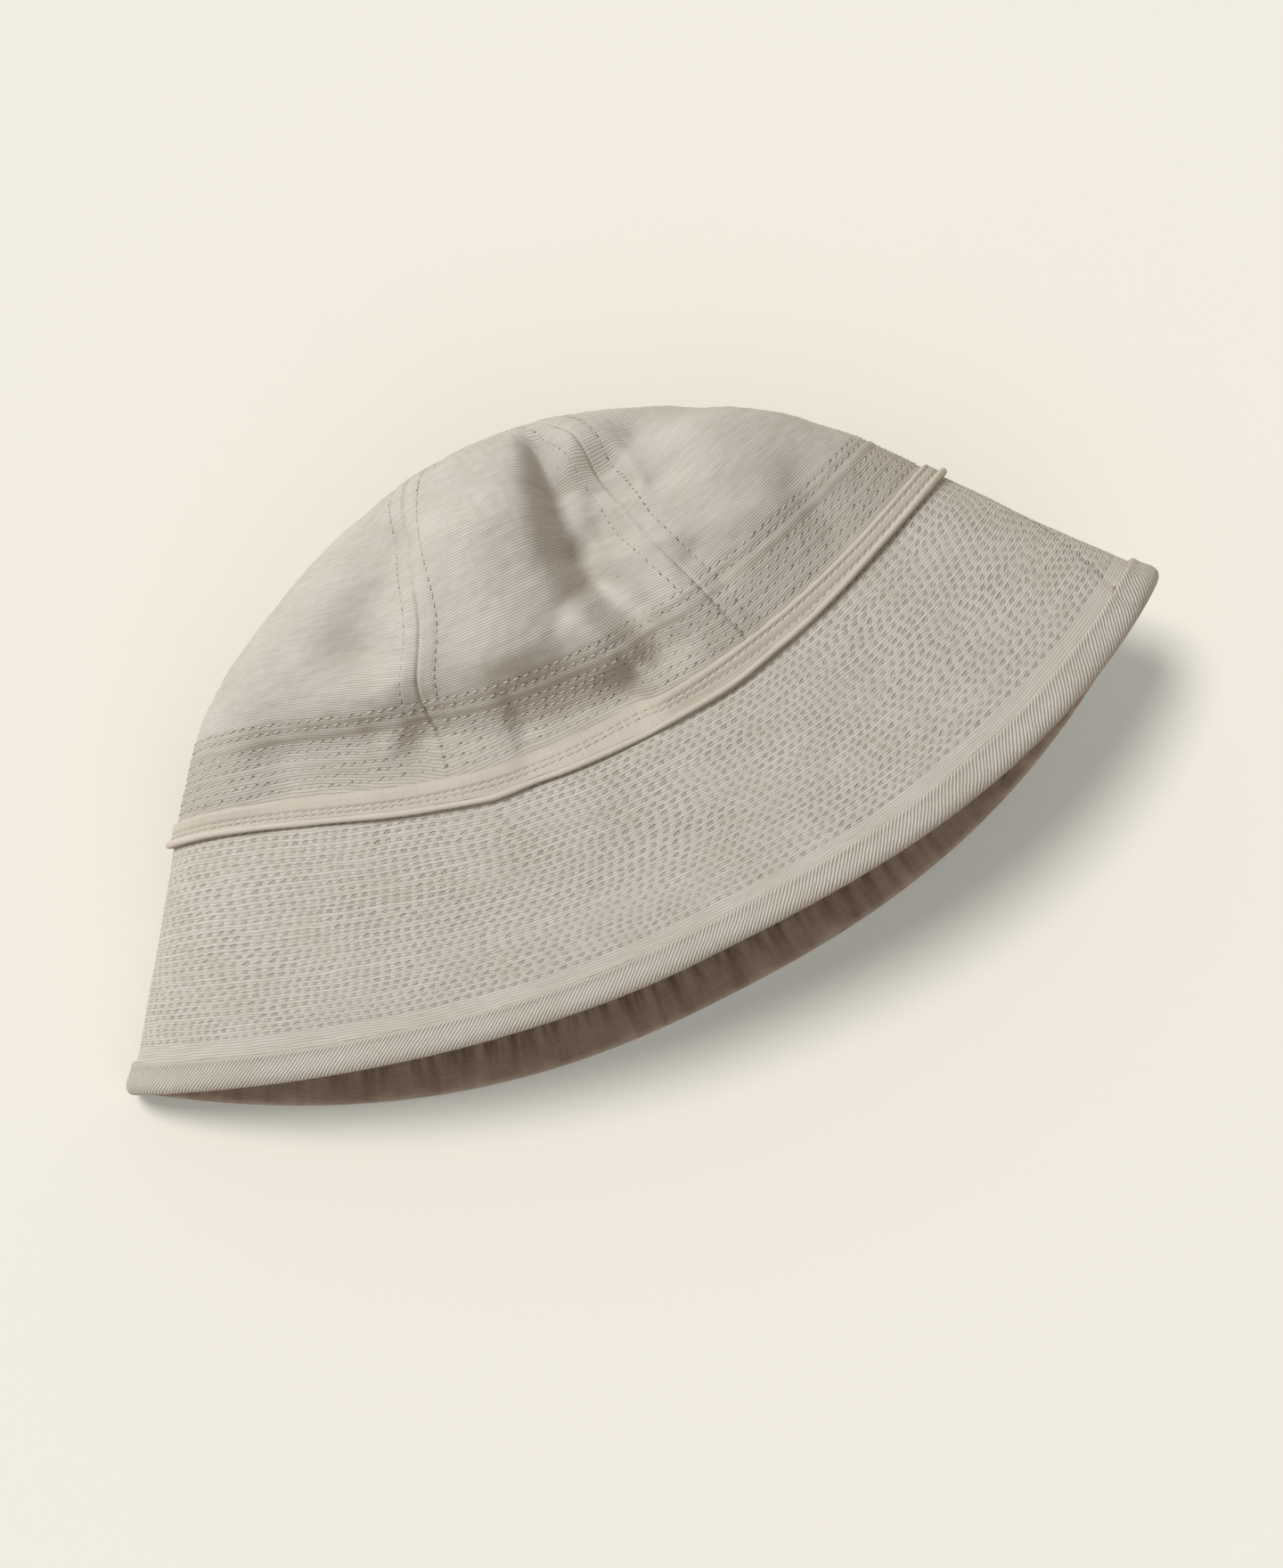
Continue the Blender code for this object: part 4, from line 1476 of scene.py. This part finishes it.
@dataclass
class Band:
    """The tape round the foot of the crown, and the piping that covers the join."""

    surface: CapSurface
    finishes: Finishes
    columns: int = 800

    LOW = 72.9
    MIDDLE = 75.0
    HIGH = 79.0
    SIDES = 16
    CORD_RADIUS = 1.2
    CORD_CENTRE = 1.55
    ROW_WIDTH = 0.42

    @staticmethod
    def row_heights(share: Array) -> tuple[Array, Array]:
        """Where the two stitched rows run.

        Args:
            share: Shares of the way round.

        Returns:
            Heights of the upper row and of the lower row.
        """
        table = np.array(TAPE_ROWS)
        turn = share % 1.0
        return np.interp(turn, table[:, 0], table[:, 1]), np.interp(turn, table[:, 0], table[:, 2])

    def tape_lift(self, height: Array, share: Array) -> Array:
        """How far the tape's face stands out of the crown's.

        Args:
            height: Heights along the cloth.
            share: Shares of the way round.

        Returns:
            Lifts in mm.
        """
        upper, lower = self.row_heights(share)
        edge = smooth_step(self.HIGH + 0.1, self.HIGH - 0.9, height)
        dips = 0.42 * np.exp(-(((height - upper) / self.ROW_WIDTH) ** 2))
        dips = dips + 0.34 * np.exp(-(((height - lower) / self.ROW_WIDTH) ** 2))
        return 0.25 + edge * (1.05 - dips)

    def build_tape(self) -> None:
        """Makes the tape, and hides the tape's solid."""
        draft = MeshDraft()
        share, closed = closed_shares(self.columns)
        face = np.array([self.HIGH, 78.9, 78.7, 78.4, 78.0, *np.linspace(77.6, self.LOW, 17)])
        height = np.concatenate([[self.HIGH - 0.1], face, [self.LOW]])[:, None] + np.zeros_like(share)
        foot = smooth_step(self.MIDDLE, self.LOW, height)
        height = height + foot * eased(BAND_WAVER, share)
        lift = self.tape_lift(height, share[None, :])
        lift[0] = lift[-1] = 0.1
        run = np.concatenate([[0.0], np.cumsum(np.hypot(np.diff(height[:, 0]), np.diff(lift[:, 0])))])
        rows = np.append(run, run[-1] + 6.0)
        around = closed[None, :] * self.surface.girth(self.MIDDLE)
        chart = np.stack(np.broadcast_arrays(rows[:, None], around), axis=-1)
        laid = self.surface.at(height, share[None, :])
        draft.grid(laid.lifted(lift), chart, wrap_down=True, wrap_over=True, flip=True)
        piece = draft.make("band_tape_cloth", [self.finishes.tape])
        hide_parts("band_tape")

    def build_piping(self) -> None:
        """Makes the piping, and hides the piping's solid."""
        draft = MeshDraft()
        share, closed = closed_shares(self.columns)
        waver = eased(BAND_WAVER, share)
        brim = self.surface.at(JOIN + waver, share, Side.BRIM)
        crown = self.surface.at(np.full_like(share, JOIN), share, Side.CROWN)
        out = brim.normals + crown.normals * smooth_step(-1.5, 0.0, waver)[:, None]
        out /= np.linalg.norm(out, axis=1)[:, None]
        round_ = np.roll(brim.points, -1, axis=0) - np.roll(brim.points, 1, axis=0)
        round_ /= np.linalg.norm(round_, axis=1)[:, None]
        up = np.cross(round_, out)
        radius = self.CORD_RADIUS - 0.22 * smooth_step(0.5, 0.4, share) * smooth_step(0.0, 0.05, share)
        lump = Undulation(41, 0.07, 30.0, 8.0).at(np.zeros_like(share), share)
        angles = closed_shares(self.SIDES)[0] * 2 * np.pi
        size = (radius + lump)[None, :, None]
        centre = brim.points + out * self.CORD_CENTRE
        ring = centre[None] + size * (
            np.cos(angles)[:, None, None] * out[None] + np.sin(angles)[:, None, None] * up[None]
        )
        ring[..., 2] = np.maximum(ring[..., 2], TABLE_CLEARANCE)
        turn = closed_shares(self.SIDES)[1] * 2 * np.pi * 1.3
        around = closed[None, :] * self.surface.girth(JOIN)
        chart = np.stack(np.broadcast_arrays(turn[:, None], around), axis=-1)
        draft.grid(ring, chart, wrap_down=True, wrap_over=True)
        piece = draft.make("band_piping_cloth", [self.finishes.piping])
        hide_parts("band_piping")


class BindingPoint(NamedTuple):
    """One point of the binding's section: its height along the cloth, and its lift."""

    height: float
    lift: float


BINDING = tuple(
    BindingPoint(*point)
    for point in (
        *((9.7, 0.1), (10.0, 0.55), (9.9, 1.05), (9.5, 1.42), (9.0, 1.52), (8.5, 1.45), (8.0, 1.36)),
        *((7.2, 1.36), (6.4, 1.42), (5.6, 1.5), (4.8, 1.58), (4.0, 1.63), (3.2, 1.62), (2.4, 1.5)),
        *((1.7, 1.25), (1.1, 0.9), (0.6, 0.4), (0.25, -0.2), (0.1, -0.9), (0.25, -1.6), (0.6, -2.2)),
        *((1.1, -2.7), (1.9, -3.05), (3.2, -3.2), (5.0, -3.2), (7.0, -3.2), (9.0, -3.2), (11.0, -3.2)),
        *((13.0, -3.2), (15.0, -3.15), (16.8, -3.0), (17.2, -2.5), (16.9, -2.0)),
    )
)


@dataclass
class Binding:
    """The twill strip folded round the brim's edge."""

    surface: CapSurface
    relief: BrimRelief
    finishes: Finishes
    columns: int = 800

    MEASURED_AT = 5.0

    def build(self) -> None:
        """Makes the binding, and hides the binding's solid."""
        draft = MeshDraft()
        share, closed = closed_shares(self.columns)
        section = np.array(BINDING)
        height = section[:, :1] + np.zeros_like(share)
        lift = section[:, 1:] + np.zeros_like(share)
        waver = Undulation(51, 0.25, 60.0, 20.0).at(np.zeros_like(share), share)
        height = height + np.where(section[:, :1] > 6, waver[None, :] * (section[:, :1] - 6) / 4, 0)
        lump = Undulation(52, 0.10, 40.0, 10.0).at(height * 0.4, share[None, :])
        inside = smooth_step(-2.6, -3.1, lift) * smooth_step(1.0, 4.0, height)
        puckers = Undulation(53, 0.85, 12.0, 4.2, 24).at(0.10 * height, share[None, :])
        lift = lift + lump + self.relief.base(height, share[None, :]) + inside * puckers
        past = ((share - BINDING_JOINT + 0.5) % 1.0 - 0.5) * self.surface.girth(self.MEASURED_AT)
        flap = 0.5 * smooth_step(0.7, -0.7, past) * smooth_step(-16.0, -5.0, past)
        flap = flap - 0.45 * np.exp(-((past / 0.9) ** 2))
        lift = lift + flap * smooth_step(0.2, 1.1, section[:, 1:])
        laid = self.surface.at(height, share[None, :], Side.BRIM)
        run = np.cumsum(np.concatenate([[0], np.hypot(*np.diff(section, axis=0).T)]))
        rows = np.append(run, run[-1] + 2.0)
        around = closed[None, :] * self.surface.girth(self.MEASURED_AT)
        chart = np.stack(np.broadcast_arrays(around, -rows[:, None]), axis=-1)
        kinds = np.where(np.append(section[1:, 1], -1.0) < -0.5, 1, 0)
        draft.grid(laid.lifted(lift), chart, kinds, wrap_down=True, wrap_over=True, flip=True)
        piece = draft.make("brim_binding_cloth", [self.finishes.twill, self.finishes.facing])
        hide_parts("brim_binding")


@dataclass
class Stitching:
    """Threads that lie on the cloth, each a low arch between two needle holes."""

    name: str
    surface: CapSurface
    finishes: Finishes
    slot: Slot
    width: float = 0.5
    height: float = 0.3
    hole: float = 0.30
    threads: list[Array] = field(default_factory=list)

    WAYS = (-0.5, -0.3, 0.0, 0.3, 0.5)
    ARCH = (-0.30, 0.10, 0.22, 0.10, -0.30)
    SLIM = (0.55, 1.0, 1.1, 1.0, 0.55)
    ROUND_POINTS = 4
    HOLE_POINTS = 6

    def add(self, height: Array, share: Array, heading: Array, length: Array, lift: Array) -> None:
        """Adds threads.

        Args:
            height: Heights of their middles.
            share: Shares of the way round of their middles.
            heading: Their directions: 0 runs round the cap, a quarter turn runs up it.
            length: Their lengths.
            lift: How far the cloth under them stands out.
        """
        self.threads.append(np.stack(np.broadcast_arrays(height, share, heading, length, lift)))

    @staticmethod
    def kept(middle: Array, height: Array) -> Array:
        """Heights of points of threads, kept on the part of the cap that holds the threads' middles."""
        return np.where(middle >= JOIN, np.maximum(height, JOIN), np.minimum(height, JOIN - 0.01))

    def build(self) -> None:
        """Makes all the threads and their holes as one piece."""
        draft = MeshDraft()
        self.add_threads(draft)
        self.add_holes(draft)
        draft.make(self.name, [self.finishes.thread, self.finishes.hole])

    def add_threads(self, draft: MeshDraft) -> None:
        """Adds the arches, each open underneath."""
        height, share, heading, length, lift = (row[:, None] for row in np.concatenate(self.threads, axis=1))
        girth = self.surface.girth(height)
        run = np.array(self.WAYS)[None, :] * length
        share_at = share + run * np.cos(heading) / girth
        laid = self.surface.at(self.kept(height, height + run * np.sin(heading)), share_at)
        middle = laid.points + laid.normals * (lift + np.array(self.ARCH)[None, :])[..., None]
        forward = np.gradient(middle, axis=1)
        forward /= np.linalg.norm(forward, axis=2)[..., None]
        across = np.cross(laid.normals, forward)
        angle = np.linspace(0, np.pi, self.ROUND_POINTS)
        slim = np.array(self.SLIM)[None, :, None, None]
        aside = (np.cos(angle) * self.width / 2)[None, None, :, None]
        out = (np.sin(angle) * self.height)[None, None, :, None]
        ring = middle[:, :, None] + across[:, :, None] * aside * slim + laid.normals[:, :, None] * out * slim
        ring[..., 2] = np.maximum(ring[..., 2], TABLE_CLEARANCE)
        numbers = draft.add_points(ring)
        around = (run + share * girth)[:, :, None]
        up = np.arange(self.ROUND_POINTS) * 0.25 + height[..., None]
        chart = draft.add_maps(np.stack(np.broadcast_arrays(around, up), axis=-1))
        both = []
        for table in (numbers, chart):
            corner = [table[:, :-1, :-1], table[:, :-1, 1:], table[:, 1:, 1:], table[:, 1:, :-1]]
            both.append(np.stack(corner, axis=-1).reshape(-1, 4))
        draft.add_faces(both[0], both[1], 0)
        for end, order in ((0, (3, 2, 1, 0)), (-1, (0, 1, 2, 3))):
            draft.add_faces(numbers[:, end][:, order], chart[:, end][:, order], 0)

    def add_holes(self, draft: MeshDraft) -> None:
        """Adds a flat dark disc at the start of each thread, painted shade that stands for the mouth of a
        needle hole.
        """
        height, share, heading, length, lift = (row[:, None] for row in np.concatenate(self.threads, axis=1))
        girth = self.surface.girth(height)
        turn = closed_shares(self.HOLE_POINTS)[0][None, :] * 2 * np.pi
        run = -0.5 * length - 0.5 * self.hole + self.hole * np.cos(turn)
        over = self.hole * 0.55 * np.sin(turn)
        sin, cos = np.sin(heading), np.cos(heading)
        at = self.kept(height, height + run * sin + over * cos)
        share_at = share + (run * cos - over * sin) / girth
        numbers = draft.add_points(self.surface.at(at, share_at).lifted(lift + 0.05))
        chart = draft.add_maps(np.stack([share_at * girth, at], axis=-1))
        draft.add_faces(numbers[:, ::-1], chart[:, ::-1], 1)


@dataclass
class Threads:
    """All the sewing that shows."""

    surface: CapSurface
    brim: BrimRelief
    crown: CrownRelief
    finishes: Finishes

    SHOWN = 0.66
    UNEVEN = 0.08

    @staticmethod
    def slanted(chance: np.random.Generator, degrees: float, spread: float, count: int) -> Array:
        """Directions round one slant, in radians."""
        return np.radians(degrees + chance.uniform(-spread, spread, count))

    def shown(self, chance: np.random.Generator, pitch: Array | float, count: int) -> Array:
        """How long the threads of stitches show, in mm."""
        return pitch * self.SHOWN * (1 + chance.uniform(-self.UNEVEN, self.UNEVEN, count))

    def build_brim(self) -> None:
        """Makes the rows round the brim, as two pieces."""
        chance = np.random.default_rng(71)
        pieces = [
            Stitching(f"brim_stitches_{side}", self.surface, self.finishes, Slot.QUILTED, 0.48, 0.33)
            for side in ("upper", "under")
        ]
        for row in range(BRIM_ROW_COUNT):
            count = int(self.brim.counts[row])
            share = self.brim.middles(row)
            height = self.brim.row_height(row, share) - 0.16 + chance.uniform(-0.07, 0.07, count)
            heading = self.slanted(chance, -15, 5, count)
            length = self.shown(chance, self.surface.girth(height) / count, count)
            lift = self.brim.base(height, share) - 0.26
            for piece, chosen in zip(pieces, (share < 0.5, share >= 0.5)):
                piece.add(height[chosen], share[chosen], heading[chosen], length[chosen], lift[chosen])
        for piece in pieces:
            piece.build()

    def build_crown(self) -> None:
        """Makes the rows round the crown and along its seams."""
        chance = np.random.default_rng(72)
        piece = Stitching("crown_stitches", self.surface, self.finishes, Slot.CANVAS, 0.46, 0.2, 0.44)
        for row in CROWN_ROWS:
            girth = float(self.surface.girth(row))
            count = int(girth / CROWN_STITCH)
            share = (np.arange(count) + chance.uniform(0, 1)) / count
            height = row + 0.18 * np.sin(2 * np.pi * (3 * share + row)) + chance.uniform(-0.06, 0.06, count)
            heading = self.slanted(chance, -14, 5, count)
            length = self.shown(chance, CROWN_STITCH, count)
            piece.add(height, share, heading, length, self.crown.lift(height, share))
        for number in range(len(SEAMS)):
            for side in (-1, 1):
                height = np.arange(105.6 + chance.uniform(0, 1), 225.0, SEAM_STITCH)
                offset = SEAM_ROW * self.crown.nearness(height) / self.surface.girth(height)
                share = self.surface.seam(number, height) + side * offset
                heading = self.slanted(chance, 90, 6, len(height))
                length = np.full(len(height), 2.1)
                piece.add(height, share, heading, length, self.crown.lift(height, share))
        piece.build()

    def build_tape(self, band: Band) -> None:
        """Makes the two rows on the tape."""
        chance = np.random.default_rng(73)
        piece = Stitching("band_stitches", self.surface, self.finishes, Slot.TAPE, 0.42, 0.2, 0.6)
        girth = float(self.surface.girth(band.MIDDLE))
        count = int(girth / TAPE_STITCH)
        for which in (0, 1):
            share = (np.arange(count) + chance.uniform(0, 1)) / count
            height = band.row_heights(share)[which] + chance.uniform(-0.05, 0.05, count)
            heading = self.slanted(chance, -10, 5, count)
            piece.add(height, share, heading, np.full(count, 2.0), band.tape_lift(height, share))
        piece.build()


@dataclass(frozen=True)
class Lamp:
    """A lamp that hangs in a direction from the cap and looks at it.

    Its turn is in degrees from the X axis and its lift in degrees over the floor. Its size is the width of a
    disk in metres, or for a sun the angle in degrees that it fills.
    """

    name: str
    kind: str
    energy: float
    color: Color
    size: float
    turn: float
    lift: float
    distance: float
    floor_state: str

    AIM = Vector((0.0, 0.0, 0.06))

    def build(self, floor: bpy.types.Object) -> None:
        """Makes the lamp.

        Args:
            floor: The floor, which the lamp lights alone or leaves out.
        """
        data = bpy.data.lights.new(self.name, self.kind)
        data.energy = self.energy
        data.color = self.color
        if self.kind == "SUN":
            data.angle = math.radians(self.size)
        else:
            data.shape = "DISK"
            data.size = self.size
        lift, turn = math.radians(self.lift), math.radians(self.turn)
        towards = Vector((math.cos(lift) * math.cos(turn), math.cos(lift) * math.sin(turn), math.sin(lift)))
        lamp = bpy.data.objects.new(self.name, data)
        lamp.rotation_mode = "QUATERNION"
        lamp.rotation_quaternion = towards.to_track_quat("Z", "Y")
        lamp.location = towards * self.distance + self.AIM
        bpy.context.scene.collection.objects.link(lamp)
        receivers = bpy.data.collections.new(f"{self.name}_receivers")
        receivers.objects.link(floor)
        lamp.light_linking.receiver_collection = receivers
        receivers.collection_objects[0].light_linking.link_state = self.floor_state


FLOOR_LIGHT = (1.0, 0.861, 0.756)
LAMPS = (
    Lamp("key", "AREA", 13.2, (0.87, 0.93, 1.0), 0.45, 122.0, 46.0, 1.3, "EXCLUDE"),
    Lamp("floor_key", "SUN", 2.10, FLOOR_LIGHT, 15.0, 99.0, 68.5, 2.0, "INCLUDE"),
    Lamp("floor_fill", "SUN", 0.44, FLOOR_LIGHT, 60.0, -70.0, 60.0, 2.0, "INCLUDE"),
)


@dataclass
class Studio:
    """The floor, the lights and the camera of the photograph."""

    floor_color: Color = (0.799, 0.865, 0.842)
    floor_half: float = 6.0
    fill: float = 0.365
    fill_color: Color = (1.0, 0.935, 0.908)
    camera_at: tuple[float, float, float] = (0.00973, -0.02177, 1.5)
    camera_turn: float = -26.07
    sensor: float = 36.0
    lens: float = 109.7

    def build(self) -> None:
        """Makes the whole stage."""
        floor = self.build_floor()
        for lamp in LAMPS:
            lamp.build(floor)
        self.build_fill()
        self.build_camera()

    def build_floor(self) -> bpy.types.Object:
        """Makes the pale floor and gives it back."""
        mesh = bpy.data.meshes.new("floor")
        half = self.floor_half
        corners = [(-half, -half, 0), (half, -half, 0), (half, half, 0), (-half, half, 0)]
        mesh.from_pydata(corners, [], [(0, 1, 2, 3)])
        floor = bpy.data.objects.new("floor", mesh)
        bpy.context.scene.collection.objects.link(floor)
        material = bpy.data.materials.new("floor")
        material.use_nodes = True
        shader = material.node_tree.nodes["Principled BSDF"]
        shader.inputs["Base Color"].default_value = (*self.floor_color, 1.0)
        shader.inputs["Roughness"].default_value = 1.0
        shader.inputs["Specular IOR Level"].default_value = 0.0
        mesh.materials.append(material)
        return floor

    def build_fill(self) -> None:
        """Makes the pale light from all round."""
        world = bpy.data.worlds.new("fill")
        world.use_nodes = True
        ground = world.node_tree.nodes["Background"]
        ground.inputs["Color"].default_value = (*self.fill_color, 1.0)
        ground.inputs["Strength"].default_value = self.fill
        bpy.context.scene.world = world
        bpy.context.scene.view_settings.view_transform = "Standard"

    def build_camera(self) -> None:
        """Makes the camera, which looks straight down."""
        data = bpy.data.cameras.new("camera")
        data.sensor_width = self.sensor
        data.lens = self.lens
        camera = bpy.data.objects.new("camera", data)
        camera.location = self.camera_at
        camera.rotation_euler = (0.0, 0.0, math.radians(self.camera_turn))
        bpy.context.scene.collection.objects.link(camera)
        bpy.context.scene.camera = camera


def main() -> None:
    """Builds the cap on its frame, then the stage."""
    logging.basicConfig(level=logging.INFO, format="%(message)s")
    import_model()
    surface = CapSurface()
    finishes = Finishes()
    brim_relief = BrimRelief(surface)
    crown_relief = CrownRelief(surface)
    Brim(surface, brim_relief, finishes).build()
    for number in range(len(PANELS)):
        CrownPanel(number, surface, crown_relief, finishes).build()
    band = Band(surface, finishes)
    band.build_tape()
    band.build_piping()
    Binding(surface, brim_relief, finishes).build()
    threads = Threads(surface, brim_relief, crown_relief, finishes)
    threads.build_brim()
    threads.build_crown()
    threads.build_tape(band)
    Studio().build()


if __name__ == "__main__":
    main()
